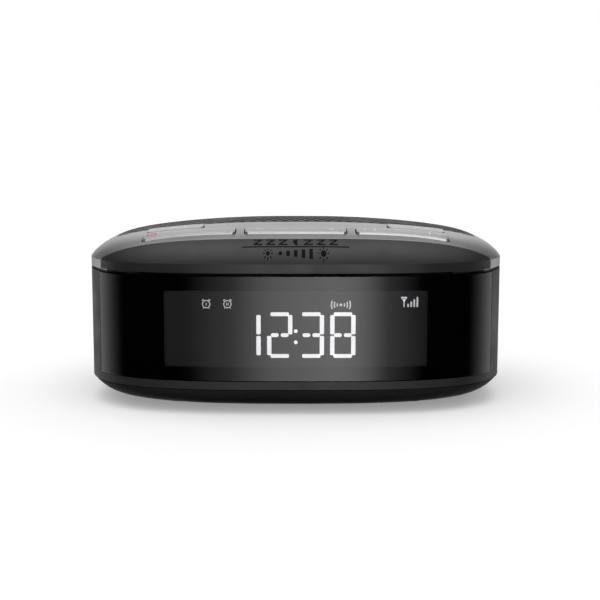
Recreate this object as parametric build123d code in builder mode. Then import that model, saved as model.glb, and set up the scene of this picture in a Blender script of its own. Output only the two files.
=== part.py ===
from build123d import *
import math
import os

# Tabletop clock radio. Millimetres, +Z up, +X to the right seen from the front, front face towards -Y.
# The origin lies on the surface the radio stands on, under the middle of the case.

# ---------------------------------------------------------------- driving sizes
length = 150.0              # across the front
depth = 100.0               # front to back
height = 64.6               # feet to crown
plan_power = 3.2            # squareness of the superellipse plan outline
outline_points = 48         # points on each outline spline

crown_drop = 6.9            # fall of the crown from its middle to the rim
shoulder_drop = 5.9         # extra fall that rounds the shoulder
shoulder_power = 14.0
crown_rings = 10            # lofted rings from rim to crown

shell = 2.2                 # moulded wall
foot_height = 1.2           # feet below the base
base_top = 8.8              # parting line of base and cabinet
cabinet_top = 47.8          # upper edge of cabinet and window
seam = 0.9                  # shadow gap under the deck
parting = 0.3               # open line between base and cabinet
overcut = 1.0               # how far a cutting shape reaches past the surface it cuts

# front window
window_thickness = 2.0
window_bottom = 11.6
window_end_y = -31.6        # where the wrap-round window stops on each side
window_backing = 2.2        # cabinet wall behind the window

# snooze bar
snooze_edge_x = 78.0        # rear edge of the snooze bar, a squarer superellipse
snooze_edge_y = 40.5
snooze_edge_power = 4.0
snooze_tip_x = 68.0         # where the bar's two blunt tips end
snooze_gap = 0.3
snooze_rear_wall = 1.6
snooze_leg_x = 28.0
snooze_leg_width = 4.0
snooze_leg_thickness = 1.4
snooze_strip_lap = 8.0      # deck wall behind the bar runs on past the window's end
snooze_line_y = -43.8       # line of legs, springs and pad
hook_drop = 1.3             # snap hooks under the chassis
hook_reach = 0.8
hook_gap = 0.05
leg_clearance = 0.3
spring_top = 52.8
spring_pin_bottom = 50.5
snooze_spring_x = 22.0
snooze_spring_radius = 1.3
snooze_spring_wire = 0.4
snooze_spring_turns = 5
spring_cup_room = 0.6       # from a spring's middle line to the outside of its cup
spring_pin_gap = 0.1
snooze_pad_radius = 1.5
snooze_board_length = 20.0
snooze_board_width = 3.2
snooze_board_thickness = 1.0
snooze_pad_height = 3.0

# keys
key_rise = 0.7              # keys stand this far above the deck
key_wall = 1.3
key_gap = 0.4
key_corner = 1.0
key_skirt_bottom = 54.4
key_edge_round = 0.35
front_key_y = -32.15
front_key_depth = 7.1
outer_key_x = 37.2
outer_key_width = 32.0
centre_key_width = 35.2
rear_key_y = -23.5
rear_key_depth = 7.0
rear_key_x = 42.9
rear_key_width = 19.8
key_ear_reach = 1.2
key_ear_height = 0.8
key_ear_width = 3.0
rocker_foot_radius = 1.0
rocker_foot_gap = 0.05
rocker_leg_width = 4.0
nub_radius = 1.4
nub_offset = 11.5           # nubs of a rocker from its middle

# key board and its rubber mat
key_board_top = 50.5
key_board_thickness = 1.2
key_board_half_x = 60.5
key_board_front = -37.6
key_board_rear = -18.0
mat_sheet = 1.0
mat_dome_height = 1.5
mat_dome_foot = 2.6
mat_dome_top = 1.7
mat_edge = 0.8
key_board_gap = 0.5         # between the key board and the deck wall
board_boss_radius = 2.5
board_boss_inner = (12.0, -23.0)
board_boss_outer = (57.0, -27.0)

# speaker grille
grille_half_x = 66.0
grille_half_y = 41.0
grille_front = -16.5
grille_thickness = 1.1
grille_gap = 0.25
grille_seat_gap = 0.1
grille_corner = 3.0
grille_border = 3.0
grille_pitch = 3.9
grille_hole = 1.2           # radius of a hole

# speaker, facing up under the grille
speaker_y = 12.0
speaker_flange_top = 53.5
speaker_flange_thickness = 1.0
speaker_flange_radius = 29.0
speaker_opening = 25.5
gasket_thickness = 1.0
collar_thickness = 2.6
speaker_ear_circle = 31.6
speaker_ear_radius = 3.6
speaker_ear_lap = 0.5       # ears overlap the flange by this
speaker_boss_radius = 2.6
basket_bottom = 39.5
basket_wall = 1.0
basket_foot_radius = 18.0
magnet_radius = 17.0
magnet_height = 7.0
pole_plate = 2.0
cone_outer = 20.5
cone_neck = 8.0
cone_neck_z = 44.5
cone_paper = 0.5
coil_wall = 0.4
coil_length = 9.5
coil_gap = 0.4
spider_z = 43.2
spider_outer = 17.0
roll_height = 1.6
cap_rise = 3.0
cap_steps = 6
roll_steps = 10
spider_shelf = 1.0
spider_shelf_reach = 1.5
basket_windows = 4
basket_window_width = 14.0
basket_window_shift = 6.0
basket_neck_gap = 1.5
magnet_gap = 3.0
cone_lip = 0.9              # flat lip at the cone's rim
cone_lip_under = 0.6
cone_joint = 0.75           # cone, coil and cap meet this far above the neck

# chassis between cabinet and deck
chassis_bottom = 45.3
chassis_thickness = 2.0
chassis_inset = 2.5
chassis_opening = 31.0
chassis_rib_inset = 2.8
chassis_rib = 1.0
chassis_rib_height = 2.4
post_x = 55.0
post_y = 15.0
post_radius = 3.5
post_bottom = 5.4

# deck fixing
side_boss = (68.5, -12.0)
rear_boss = (34.0, 43.0)
deck_boss_radius = 3.0
lug_radius = 4.5
lug_height = 4.0
tongue_inset = 1.2
deck_wall = 1.8             # deck wall behind the snooze bar

# screws
screw_radius = 1.4
screw_head_radius = 2.6
screw_head_height = 1.6
screw_clearance = 0.2
deck_screw_length = 12.0
base_screw_length = 11.5
board_screw_radius = 1.2
board_screw_head_radius = 2.2
board_screw_head_height = 1.3
board_screw_depth = 4.0     # thread in a deck boss

# base
base_mid_z = 4.4
base_mid_inset = 3.6
base_mid_inset_front = 5.04
base_floor_x = 66.0
base_floor_y = 37.5
base_floor_power = 2.7
base_mid_power = 3.0
base_floor_thickness = 2.2
base_tongue_inset = 4.7
base_tongue = 1.6
base_tongue_height = 2.7
base_pad_radius = 5.0
head_recess = 0.3
foot_x = 42.0
foot_y = 24.0
foot_radius = 4.5
foot_recess = 0.6
standoff_hole_spare = 2.0   # hole runs on past the screw's end

# backup battery bay
cell_radius = 5.2
cell_length = 43.0
cell_nub_radius = 1.8
cell_nub = 0.8
cell_gap = 0.4
contact_room = 3.4
bay_wall = 1.4
bay_y = -4.0
door_thickness = 1.6
door_ledge = 1.5
door_gap = 0.25
door_pin_radius = 0.6
door_pin_length = 1.2
pin_clearance = 0.05
contact_plate = 0.4
battery_spring_radius = 2.6
battery_spring_wire = 0.5
battery_spring_turns = 3
contact_border = 0.8        # contact plate around its spring

# main board
board_bottom = 17.0
board_thickness = 1.6
board_half_x = 49.0
board_front = -24.0
board_rear = 43.0
board_inset = 5.5
standoff_x = 40.0
standoff_front = -18.0
standoff_rear = 32.0
standoff_radius = 3.0

# rear connections
socket_x = -30.0
socket_width = 9.0
socket_depth = 12.2
socket_height = 10.5
socket_rear = 46.2
socket_nose_radius = 4.3
socket_nose = 2.2
socket_bore = 3.15
socket_pin = 1.0
socket_bore_depth = 9.0
socket_pin_sunk = 1.0       # pin ends below the socket's rim
grommet_x = 30.0
grommet_flange = 4.6
grommet_flange_thickness = 1.0
grommet_neck = 2.7
grommet_seat_y = 48.4
grommet_inner_y = 46.3
grommet_inner_step = 0.6    # inner flange is smaller, so that it pushes through
rear_cut = 6.6              # depth of the holes through the rear wall
wire_bore = 1.0
fit_gap = 0.1
vent_count = 7
vent_pitch = 4.0
vent_width = 1.6
vent_height = 14.0
vent_z = 30.0

# display
display_z = 28.4
active_width = 91.6
active_height = 27.0
glass_border = 0.8
glass_front = -41.0
glass_thickness = 2.4
guide_thickness = 3.4
frame_lip = 1.0
frame_wall = 1.2
frame_gap = 0.2
aperture_gap = 0.3
ear_reach = 6.0
ear_front = -38.0
ear_thickness = 1.5
display_board_thickness = 1.6
display_screw_x = 52.0
display_screw_z = 11.0
display_post_radius = 2.4
display_post = 3.0
display_screw_depth = 2.6
backing_overlap = 4.0
foot_chamfer = 0.5
finger_half = 6.0
finger_deep = 1.6

# parts on the main board
shield_x = 23.0
shield_y = -6.0
shield_wide = 26.0
shield_deep = 22.0
shield_tall = 4.0
shield_corner = 1.0
chip_height = 1.2
chips = [(-22.0, -6.0, 14.0), (-24.0, 12.0, 8.0)]
capacitor_radius = 3.2
capacitor_height = 9.0
capacitor_round = 0.4
capacitors_at = [(-38.0, 4.0), (-38.0, 13.0), (38.0, 16.0)]

# flat cables and their sockets
socket_block = 2.4
socket_block_end = 1.5      # block is longer than its cable is wide, at each end
display_link_z = 22.0
ribbon_top = 27.5
key_link_inset = 1.5
key_ribbon_lap = 3.0
ribbon_thickness = 0.3
ribbon_bend = 2.0
display_ribbon_width = 16.0
key_ribbon_width = 12.0

# ---------------------------------------------------------------- derived levels
half_x = length / 2
half_y = depth / 2
deck_bottom = cabinet_top + seam
chassis_top = chassis_bottom + chassis_thickness
collar_bottom = speaker_flange_top + gasket_thickness
cone_rim_z = speaker_flange_top + cone_paper
cone_joint_z = cone_neck_z + cone_joint
key_board_bottom = key_board_top - key_board_thickness
mat_top = key_board_top + mat_sheet + mat_dome_height
board_top = board_bottom + board_thickness
base_floor_top = foot_height + base_floor_thickness
above = height + 5.0
BASE = (Align.CENTER, Align.CENTER, Align.MIN)
TOP = (Align.CENTER, Align.CENTER, Align.MAX)
rocker_axis_z = key_board_top + rocker_foot_gap + rocker_foot_radius


# ---------------------------------------------------------------- shared shapes
def superellipse(reach_x, reach_y, power, mode=Mode.ADD):
    """Draw a closed superellipse in the current sketch."""
    points = []
    for step in range(outline_points):
        angle = 2 * math.pi * step / outline_points
        across = abs(math.cos(angle) / reach_x) ** power
        along = abs(math.sin(angle) / reach_y) ** power
        reach = (across + along) ** (-1 / power)
        points.append((reach * math.cos(angle), reach * math.sin(angle)))
    with BuildLine() as rim:
        Spline(*points, periodic=True)
    make_face(rim.edges(), mode=mode)


def plan_outline(inset, mode=Mode.ADD):
    """Draw the plan outline of the case, moved in by inset."""
    superellipse(half_x - inset, half_y - inset, plan_power, mode)


def snooze_edge(shift, mode=Mode.ADD):
    """Draw the curve behind the snooze bar, moved back by shift."""
    superellipse(snooze_edge_x - shift, snooze_edge_y - shift, snooze_edge_power, mode)


def ahead_of(y, mode=Mode.ADD):
    """Draw the half plane in front of y, as wide and deep as the case."""
    with Locations((0, y - depth / 2)):
        Rectangle(length * 1.2, depth, mode=mode)


def behind(y, mode=Mode.ADD):
    """Draw the half plane behind y, as wide and deep as the case."""
    with Locations((0, y + depth / 2)):
        Rectangle(length * 1.2, depth, mode=mode)


def crown_height(ratio, inset):
    """Height of the crown where the outline is shrunk to ratio, for a skin inset below the outer one."""
    return height - inset - crown_drop * ratio ** 2 - shoulder_drop * ratio ** shoulder_power


def skin(inset, bottom):
    """Block with the plan outline and the crown on top, both moved in by inset."""
    rim = crown_height(1.0, inset)
    with BuildPart() as block:
        for step in range(crown_rings, 0, -1):
            ratio = step / crown_rings
            with BuildSketch(Plane.XY.offset(crown_height(ratio, inset))):
                superellipse((half_x - inset) * ratio, (half_y - inset) * ratio, plan_power)
        loft()
        with BuildSketch(Plane.XY.offset(bottom)):
            plan_outline(inset)
        extrude(amount=rim - bottom)
    return block.part


def prism(bottom, top, draw, mode=Mode.ADD):
    """Raise a drawn plan from bottom to top in the current part."""
    with BuildSketch(Plane.XY.offset(bottom)) as plan:
        draw()
    extrude(plan.sketch, amount=top - bottom, mode=mode)


def cut_from(block, bottom, draw):
    """Part of a block that stands over a drawn plan, from bottom up."""
    with BuildPart() as piece:
        prism(bottom, above, draw)
        add(block, mode=Mode.INTERSECT)
    return piece.part


def circles(points, radius):
    """Draw a circle at each point."""
    with Locations(*points):
        Circle(radius)


def ring(x, y, outer, inner):
    """Draw a flat ring."""
    with Locations((x, y)):
        Circle(outer)
        Circle(inner, mode=Mode.SUBTRACT)


def slab(low, high, mode=Mode.ADD):
    """Box from its lowest to its highest corner, in the current part."""
    size = [high[i] - low[i] for i in range(3)]
    middle = [(high[i] + low[i]) / 2 for i in range(3)]
    with Locations(tuple(middle)):
        Box(*size, mode=mode)


def rod(x, z, radius, start_y, end_y, mode=Mode.ADD):
    """Cylinder along Y in the current part."""
    with Locations(Location((x, (start_y + end_y) / 2, z), (90, 0, 0))):
        Cylinder(radius, abs(end_y - start_y), mode=mode)


def screw(x, y, underside, shank, radius, head_radius, head_height, up=True):
    """Pan-head screw in the current part; the head's flat side lies at underside."""
    turn = 1 if up else -1
    with Locations((x, y, underside)):
        Cylinder(radius, shank, align=(Align.CENTER, Align.CENTER, Align.MIN if up else Align.MAX))
    with Locations((x, y, underside - turn * head_height / 2)):
        Cylinder(head_radius, head_height)


def taper_for(inward, tall):
    """Taper angle that draws an extrusion in by inward over its height."""
    return math.degrees(math.atan2(inward, tall))


def mirrored_pairs(*points):
    """Each point and its mirror image across the middle of the case."""
    pairs = []
    for x, y in points:
        pairs.append((x, y))
        pairs.append((-x, y))
    return pairs


def save(part, name):
    part.label = name
    export_step(part, "parts/" + name + ".step")


os.makedirs("parts", exist_ok=True)

outer_skin = skin(0.0, chassis_top)
hollow = skin(shell, chassis_bottom)
grille_seat = skin(grille_thickness + grille_seat_gap, chassis_bottom)
grille_core = skin(grille_thickness, chassis_bottom)
key_skin = skin(-key_rise, chassis_bottom)
key_core = skin(key_wall - key_rise, chassis_bottom)

deck_bosses = mirrored_pairs(side_boss, rear_boss)
board_bosses = mirrored_pairs(board_boss_inner, board_boss_outer)
chassis_posts = mirrored_pairs((post_x, post_y), (post_x, -post_y))
speaker_ear = speaker_ear_circle * math.sqrt(0.5)
speaker_ears = mirrored_pairs((speaker_ear, speaker_y + speaker_ear), (speaker_ear, speaker_y - speaker_ear))
standoffs = mirrored_pairs((standoff_x, standoff_front), (standoff_x, standoff_rear))

# Keys: name, middle x, middle y, width, depth, rocker or plain push key.
keys = [
    ("power_key", -outer_key_x, front_key_y, outer_key_width, front_key_depth, True),
    ("volume_key", 0.0, front_key_y, centre_key_width, front_key_depth, True),
    ("tuning_key", outer_key_x, front_key_y, outer_key_width, front_key_depth, True),
    ("first_alarm_key", -rear_key_x, rear_key_y, rear_key_width, rear_key_depth, False),
    ("second_alarm_key", rear_key_x, rear_key_y, rear_key_width, rear_key_depth, False),
]


def key_plan(x, y, wide, deep, corner):
    """Draw one key's rounded plan."""
    with Locations((x, y)):
        RectangleRounded(wide, deep, corner)


def key_plans(grow):
    """Draw every key's plan, grown by grow on each side."""
    for name, x, y, wide, deep, rocks in keys:
        key_plan(x, y, wide + 2 * grow, deep + 2 * grow, key_corner + grow)


def grille_plan(inset):
    """Draw the grille's plan: the rear of a superellipse behind a straight front edge."""
    with BuildSketch(mode=Mode.PRIVATE) as plan:
        superellipse(grille_half_x - inset, grille_half_y - inset, plan_power)
        behind(grille_front + inset, mode=Mode.INTERSECT)
        front_corners = plan.vertices().group_by(Axis.Y)[0]
        fillet(front_corners, radius=grille_corner)
    add(plan.sketch)


def snooze_region(shift):
    """Draw the region in front of the snooze edge, with the edge moved back by shift."""
    with Locations((0, -half_y)):
        Rectangle(2 * (snooze_tip_x + shift), depth)
    snooze_edge(shift, Mode.SUBTRACT)


def edge_strip(inner, outer):
    """Draw the strip between two shifts of the snooze edge, along the front only."""
    with BuildSketch(mode=Mode.PRIVATE) as strip:
        snooze_edge(inner)
        snooze_edge(outer, Mode.SUBTRACT)
        ahead_of(window_end_y + snooze_strip_lap, Mode.INTERSECT)
    add(strip.sketch)


def front_rib():
    """Draw the rib that closes the seam behind the snooze bar."""
    with BuildSketch(mode=Mode.PRIVATE) as rib:
        plan_outline(chassis_rib_inset)
        plan_outline(chassis_rib_inset + chassis_rib, Mode.SUBTRACT)
        ahead_of(window_end_y - overcut, Mode.INTERSECT)
        snooze_edge(-snooze_rear_wall - 2 * snooze_gap, Mode.SUBTRACT)
    add(rib.sketch)


def leg_slots():
    """Draw the chassis slots that guide the snooze bar's legs."""
    with Locations((-snooze_leg_x, snooze_line_y), (snooze_leg_x, snooze_line_y)):
        Rectangle(snooze_leg_width + 2 * leg_clearance, snooze_leg_thickness + 2 * leg_clearance)


def outline_ring(outer, inner):
    """Draw the band between two insets of the plan outline."""
    with BuildSketch(mode=Mode.PRIVATE) as band:
        plan_outline(outer)
        plan_outline(inner, Mode.SUBTRACT)
    add(band.sketch)


# ---------------------------------------------------------------- top deck
with BuildPart() as deck_hollow:
    add(hollow)
    prism(
        chassis_bottom,
        above,
        lambda: edge_strip(snooze_gap - overcut, snooze_gap + deck_wall),
        Mode.SUBTRACT,
    )
    prism(chassis_bottom, above, lambda: circles(deck_bosses, deck_boss_radius), Mode.SUBTRACT)
    prism(key_board_top, above, lambda: circles(board_bosses, board_boss_radius), Mode.SUBTRACT)
    prism(speaker_flange_top, above, lambda: circles(speaker_ears, speaker_boss_radius), Mode.SUBTRACT)
    prism(
        collar_bottom,
        above,
        lambda: ring(0, speaker_y, speaker_opening + collar_thickness, speaker_opening),
        Mode.SUBTRACT,
    )

grille_well = cut_from(outer_skin, chassis_bottom, lambda: grille_plan(0.0)) - grille_seat

with BuildPart() as seam_groove:
    prism(chassis_top, deck_bottom, lambda: outline_ring(-overcut, tongue_inset))
    prism(chassis_top, cabinet_top, lambda: outline_ring(-overcut, shell))

with BuildPart() as deck_openings:
    prism(collar_bottom, above, lambda: circles([(0, speaker_y)], speaker_opening))
    prism(mat_top, above, lambda: key_plans(key_gap))
    with Locations(*[(x, y, chassis_top) for x, y in deck_bosses]):
        Cylinder(screw_radius, deck_screw_length - lug_height - chassis_thickness, align=BASE)
    with Locations(*[(x, y, key_board_top) for x, y in board_bosses]):
        Cylinder(board_screw_radius, board_screw_depth, align=BASE)
    with Locations(*[(x, y, speaker_flange_top) for x, y in speaker_ears]):
        Cylinder(board_screw_radius, board_screw_depth, align=BASE)

with BuildPart() as top_deck:
    add(outer_skin)
    prism(chassis_bottom, above, lambda: snooze_region(snooze_gap), Mode.SUBTRACT)
    add(seam_groove.part, mode=Mode.SUBTRACT)
    add(grille_well, mode=Mode.SUBTRACT)
    add(deck_hollow.part, mode=Mode.SUBTRACT)
    add(deck_openings.part, mode=Mode.SUBTRACT)
save(top_deck.part, "top_deck")


# ---------------------------------------------------------------- speaker grille
def grille_holes():
    """Middles of the grille's holes, in staggered rows inside its border."""
    row_pitch = grille_pitch * math.sqrt(3) / 2
    reach_x = grille_half_x - grille_border
    reach_y = grille_half_y - grille_border
    middles = []
    rows = int((reach_y - grille_front) / row_pitch)
    for row in range(rows):
        y = grille_front + grille_border + row * row_pitch
        shift = grille_pitch / 2 * (row % 2)
        columns = int(reach_x / grille_pitch) + 1
        for column in range(-columns, columns + 1):
            x = column * grille_pitch + shift
            if abs(x / reach_x) ** plan_power + abs(y / reach_y) ** plan_power < 1:
                middles.append((x, y))
    return middles


with BuildPart() as speaker_grille:
    prism(chassis_top, above, lambda: grille_plan(grille_gap))
    add(skin(0.0, chassis_top), mode=Mode.INTERSECT)
    add(grille_core, mode=Mode.SUBTRACT)
    prism(chassis_top, above, lambda: circles(grille_holes(), grille_hole), Mode.SUBTRACT)
save(speaker_grille.part, "speaker_grille")


# ---------------------------------------------------------------- snooze bar
def snooze_legs():
    """Draw the two guide legs."""
    with Locations((-snooze_leg_x, snooze_line_y), (snooze_leg_x, snooze_line_y)):
        Rectangle(snooze_leg_width, snooze_leg_thickness)


snooze_springs_at = [(-snooze_spring_x, snooze_line_y), (snooze_spring_x, snooze_line_y)]
snooze_middle = [(0.0, snooze_line_y)]
spring_cup_radius = snooze_spring_radius + spring_cup_room
spring_pin_radius = snooze_spring_radius - snooze_spring_wire - spring_pin_gap
pad_top = chassis_top + snooze_board_thickness + snooze_pad_height

with BuildPart() as snooze_inside:
    add(hollow)
    prism(chassis_bottom, above, lambda: snooze_region(-snooze_rear_wall), Mode.INTERSECT)
    prism(spring_top, above, lambda: circles(snooze_springs_at, spring_cup_radius), Mode.SUBTRACT)
    prism(spring_pin_bottom, above, lambda: circles(snooze_springs_at, spring_pin_radius), Mode.SUBTRACT)
    prism(pad_top, above, lambda: circles(snooze_middle, snooze_pad_radius), Mode.SUBTRACT)
    prism(chassis_bottom, above, snooze_legs, Mode.SUBTRACT)

with BuildPart() as snooze_bar:
    prism(deck_bottom, above, lambda: snooze_region(0.0))
    add(outer_skin, mode=Mode.INTERSECT)
    add(snooze_inside.part, mode=Mode.SUBTRACT)
    prism(chassis_bottom - hook_drop, deck_bottom, snooze_legs)
    hook_y = snooze_line_y + snooze_leg_thickness / 2
    for side in (-1, 1):
        low = (side * snooze_leg_x - snooze_leg_width / 2, hook_y, chassis_bottom - hook_drop)
        high = (side * snooze_leg_x + snooze_leg_width / 2, hook_y + hook_reach, chassis_bottom - hook_gap)
        slab(low, high)
save(snooze_bar.part, "snooze_bar")


def coil_spring(x, y, bottom, tall, radius, wire, turns):
    """Compression spring in the current part, standing on bottom."""
    pitch = (tall - wire) / turns
    path = Helix(pitch, tall - wire, radius).moved(Location((x, y, bottom + wire / 2)))
    start = Plane(origin=path @ 0, z_dir=path % 0)
    with BuildSketch(start) as section:
        Circle(wire / 2)
    sweep(section.sketch, path=path)


with BuildPart() as snooze_springs:
    for x, y in snooze_springs_at:
        coil_spring(
            x, y, chassis_top, spring_top - chassis_top,
            snooze_spring_radius, snooze_spring_wire, snooze_spring_turns,
        )
save(snooze_springs.part, "snooze_springs")

with BuildPart() as snooze_board:
    half_length = snooze_board_length / 2
    half_width = snooze_board_width / 2
    low = (-half_length, snooze_line_y - half_width, chassis_top)
    slab(low, (half_length, snooze_line_y + half_width, chassis_top + snooze_board_thickness))
save(snooze_board.part, "snooze_board")

with BuildPart() as snooze_pad:
    pad_foot = snooze_board_width / 2
    with BuildSketch(Plane.XY.offset(chassis_top + snooze_board_thickness)):
        with Locations((0, snooze_line_y)):
            Circle(pad_foot)
    extrude(amount=snooze_pad_height, taper=taper_for(pad_foot - snooze_pad_radius, snooze_pad_height))
save(snooze_pad.part, "snooze_pad")


# ---------------------------------------------------------------- keys
def make_key(x, y, wide, deep, rocks):
    """One hollow key with its nubs, its two retaining ears and, on a rocker, its foot."""
    nubs = [(x - nub_offset, y), (x + nub_offset, y)] if rocks else [(x, y)]
    inner_wide = wide - 2 * key_wall
    inner_deep = deep - 2 * key_wall
    with BuildPart() as inside:
        prism(key_skirt_bottom, above, lambda: key_plan(x, y, inner_wide, inner_deep, key_corner / 2))
        add(key_core, mode=Mode.INTERSECT)
        prism(mat_top, above, lambda: circles(nubs, nub_radius), Mode.SUBTRACT)
        if rocks:
            prism(mat_top, above, lambda: rocker_leg(x, y), Mode.SUBTRACT)
    with BuildPart() as key:
        prism(key_skirt_bottom, above, lambda: key_plan(x, y, wide, deep, key_corner))
        add(key_skin, mode=Mode.INTERSECT)
        top = key.faces().sort_by(Axis.Z)[-1]
        fillet(top.edges(), radius=key_edge_round)
        add(inside.part, mode=Mode.SUBTRACT)
        prism(mat_top, key_skirt_bottom, lambda: circles(nubs, nub_radius))
        for side in (-1, 1):
            ear_x = x + side * (wide + key_ear_reach) / 2
            with Locations((ear_x, y, key_skirt_bottom)):
                Box(key_ear_reach, key_ear_width, key_ear_height, align=BASE)
        if rocks:
            prism(rocker_axis_z, key_skirt_bottom, lambda: rocker_leg(x, y))
            with Locations(Location((x, y, rocker_axis_z), (90, 0, 0))):
                Cylinder(rocker_foot_radius, rocker_leg_width)
    return key.part


def rocker_leg(x, y):
    """Draw the leg that a rocker key tips on."""
    with Locations((x, y)):
        Rectangle(2 * rocker_foot_radius, rocker_leg_width)


for name, x, y, wide, deep, rocks in keys:
    save(make_key(x, y, wide, deep, rocks), name)

# ---------------------------------------------------------------- key board and mat
rocker_feet = [(x, y) for name, x, y, wide, deep, rocks in keys if rocks]
mat_domes = []
for name, x, y, wide, deep, rocks in keys:
    mat_domes += [(x - nub_offset, y), (x + nub_offset, y)] if rocks else [(x, y)]


def key_board_plan(inset):
    """Draw the key board's plan, cut back to follow the snooze edge."""
    wide = 2 * (key_board_half_x - inset)
    deep = key_board_rear - key_board_front - 2 * inset
    with BuildSketch(mode=Mode.PRIVATE) as plan:
        with Locations((0, (key_board_rear + key_board_front) / 2)):
            Rectangle(wide, deep)
        snooze_edge(snooze_gap + deck_wall + key_board_gap + inset, Mode.INTERSECT)
    add(plan.sketch)


with BuildPart() as key_board:
    prism(key_board_bottom, key_board_top, lambda: key_board_plan(0.0))
    with Locations(*[(x, y, key_board_bottom) for x, y in board_bosses]):
        Cylinder(board_screw_radius, key_board_thickness, align=BASE, mode=Mode.SUBTRACT)
save(key_board.part, "key_board")

with BuildPart() as key_mat:
    prism(key_board_top, key_board_top + mat_sheet, lambda: key_board_plan(mat_edge))
    prism(key_board_top, above, lambda: circles(board_bosses, board_boss_radius + key_gap), Mode.SUBTRACT)
    prism(key_board_top, above, lambda: circles(rocker_feet, rocker_leg_width / 2 + key_gap), Mode.SUBTRACT)
    with BuildSketch(Plane.XY.offset(key_board_top + mat_sheet)):
        with Locations(*mat_domes):
            Circle(mat_dome_foot)
    extrude(amount=mat_dome_height, taper=taper_for(mat_dome_foot - mat_dome_top, mat_dome_height))
save(key_mat.part, "key_mat")

with BuildPart() as key_board_screws:
    for x, y in board_bosses:
        screw(
            x, y, key_board_bottom, key_board_thickness + board_screw_depth,
            board_screw_radius, board_screw_head_radius, board_screw_head_height,
        )
save(key_board_screws.part, "key_board_screws")

# ---------------------------------------------------------------- speaker
flange_bottom = speaker_flange_top - speaker_flange_thickness
coil_radius = cone_neck - coil_wall
coil_bottom = cone_neck_z - coil_length
front_plate_top = basket_bottom
front_plate_bottom = front_plate_top - pole_plate
magnet_bottom = front_plate_bottom - magnet_height
back_plate_bottom = magnet_bottom - pole_plate


def spin(points):
    """Turn a closed outline of radius and height pairs about the speaker's axis."""
    with BuildSketch(Plane.XZ.offset(-speaker_y)) as section:
        with BuildLine() as edge:
            Polyline(*points, close=True)
        make_face(edge.edges())
    revolve(section.sketch, axis=Axis((0, speaker_y, 0), (0, 0, 1)))


def speaker_screw_holes(bottom, tall):
    with Locations(*[(x, y, bottom) for x, y in speaker_ears]):
        Cylinder(board_screw_radius, tall, align=BASE, mode=Mode.SUBTRACT)


with BuildPart() as speaker_basket:
    spin([
        (speaker_opening, speaker_flange_top),
        (speaker_flange_radius, speaker_flange_top),
        (speaker_flange_radius, flange_bottom),
        (speaker_opening, flange_bottom),
        (basket_foot_radius, front_plate_top),
        (cone_neck + basket_neck_gap, front_plate_top),
        (cone_neck + basket_neck_gap, front_plate_top + basket_wall),
        (basket_foot_radius - basket_wall, front_plate_top + basket_wall),
        (speaker_opening - basket_wall, flange_bottom),
    ])
    with BuildSketch(Plane.XY.offset(spider_z - spider_shelf)):
        with Locations((0, speaker_y)):
            Circle(basket_foot_radius + spider_shelf_reach)
            Circle(spider_outer - spider_shelf, mode=Mode.SUBTRACT)
    extrude(amount=spider_shelf)
    with BuildSketch(Plane.XY.offset(spider_z + basket_wall)):
        with Locations((0, speaker_y)):
            with PolarLocations(0, basket_windows, start_angle=0):
                with Locations((speaker_opening / 2 + basket_window_shift, 0)):
                    Rectangle(speaker_opening, basket_window_width)
    extrude(amount=flange_bottom - basket_wall - spider_z - basket_wall, mode=Mode.SUBTRACT)
    with BuildSketch(Plane.XY.offset(flange_bottom)):
        with Locations(*speaker_ears):
            Circle(speaker_ear_radius)
        with Locations((0, speaker_y)):
            Circle(speaker_flange_radius - speaker_ear_lap, mode=Mode.SUBTRACT)
    extrude(amount=speaker_flange_thickness)
    speaker_screw_holes(flange_bottom, speaker_flange_thickness)
save(speaker_basket.part, "speaker_basket")

with BuildPart() as speaker_magnet:
    spin([
        (coil_radius - coil_gap, back_plate_bottom),
        (magnet_radius, back_plate_bottom),
        (magnet_radius, front_plate_top),
        (cone_neck + coil_gap, front_plate_top),
        (cone_neck + coil_gap, front_plate_bottom),
        (cone_neck + magnet_gap, front_plate_bottom),
        (cone_neck + magnet_gap, magnet_bottom),
        (coil_radius - coil_gap, magnet_bottom),
    ])
    with Locations((0, speaker_y, back_plate_bottom)):
        Cylinder(coil_radius - coil_gap, front_plate_top - back_plate_bottom, align=BASE)
save(speaker_magnet.part, "speaker_magnet")

with BuildPart() as speaker_cone:
    spin([
        (cone_neck, cone_neck_z),
        (cone_outer - cone_lip_under, cone_rim_z - cone_paper),
        (cone_outer, cone_rim_z - cone_paper),
        (cone_outer, cone_rim_z),
        (cone_outer - cone_lip, cone_rim_z),
        (cone_neck, cone_joint_z),
    ])
save(speaker_cone.part, "speaker_cone")

with BuildPart() as voice_coil:
    spin([
        (coil_radius, coil_bottom),
        (cone_neck, coil_bottom),
        (cone_neck, cone_joint_z),
        (coil_radius, cone_joint_z),
    ])
save(voice_coil.part, "voice_coil")

with BuildPart() as dust_cap:
    outside = []
    inside_line = []
    for step in range(cap_steps + 1):
        lean = math.pi / 2 * step / cap_steps
        outside.append((cone_neck * math.cos(lean), cone_joint_z + cap_rise * math.sin(lean)))
        lower = cap_rise - cone_paper
        inside_line.append(((cone_neck - cone_paper) * math.cos(lean), cone_joint_z + lower * math.sin(lean)))
    cap_top = cone_joint_z + cap_rise
    spin(outside[:-1] + [(0, cap_top), (0, cap_top - cone_paper)] + inside_line[-2::-1])
save(dust_cap.part, "dust_cap")

with BuildPart() as cone_surround:
    roll_middle = (cone_outer + speaker_opening) / 2
    roll_half = (speaker_opening - cone_outer) / 2
    over = []
    under = []
    for step in range(roll_steps + 1):
        lean = math.pi * step / roll_steps
        reach = roll_middle + roll_half * math.cos(lean)
        rise = roll_height * math.sin(lean)
        over.append((reach, cone_rim_z + rise))
        under.append((reach, speaker_flange_top + rise))
    spin(over + under[::-1])
save(cone_surround.part, "cone_surround")

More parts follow.
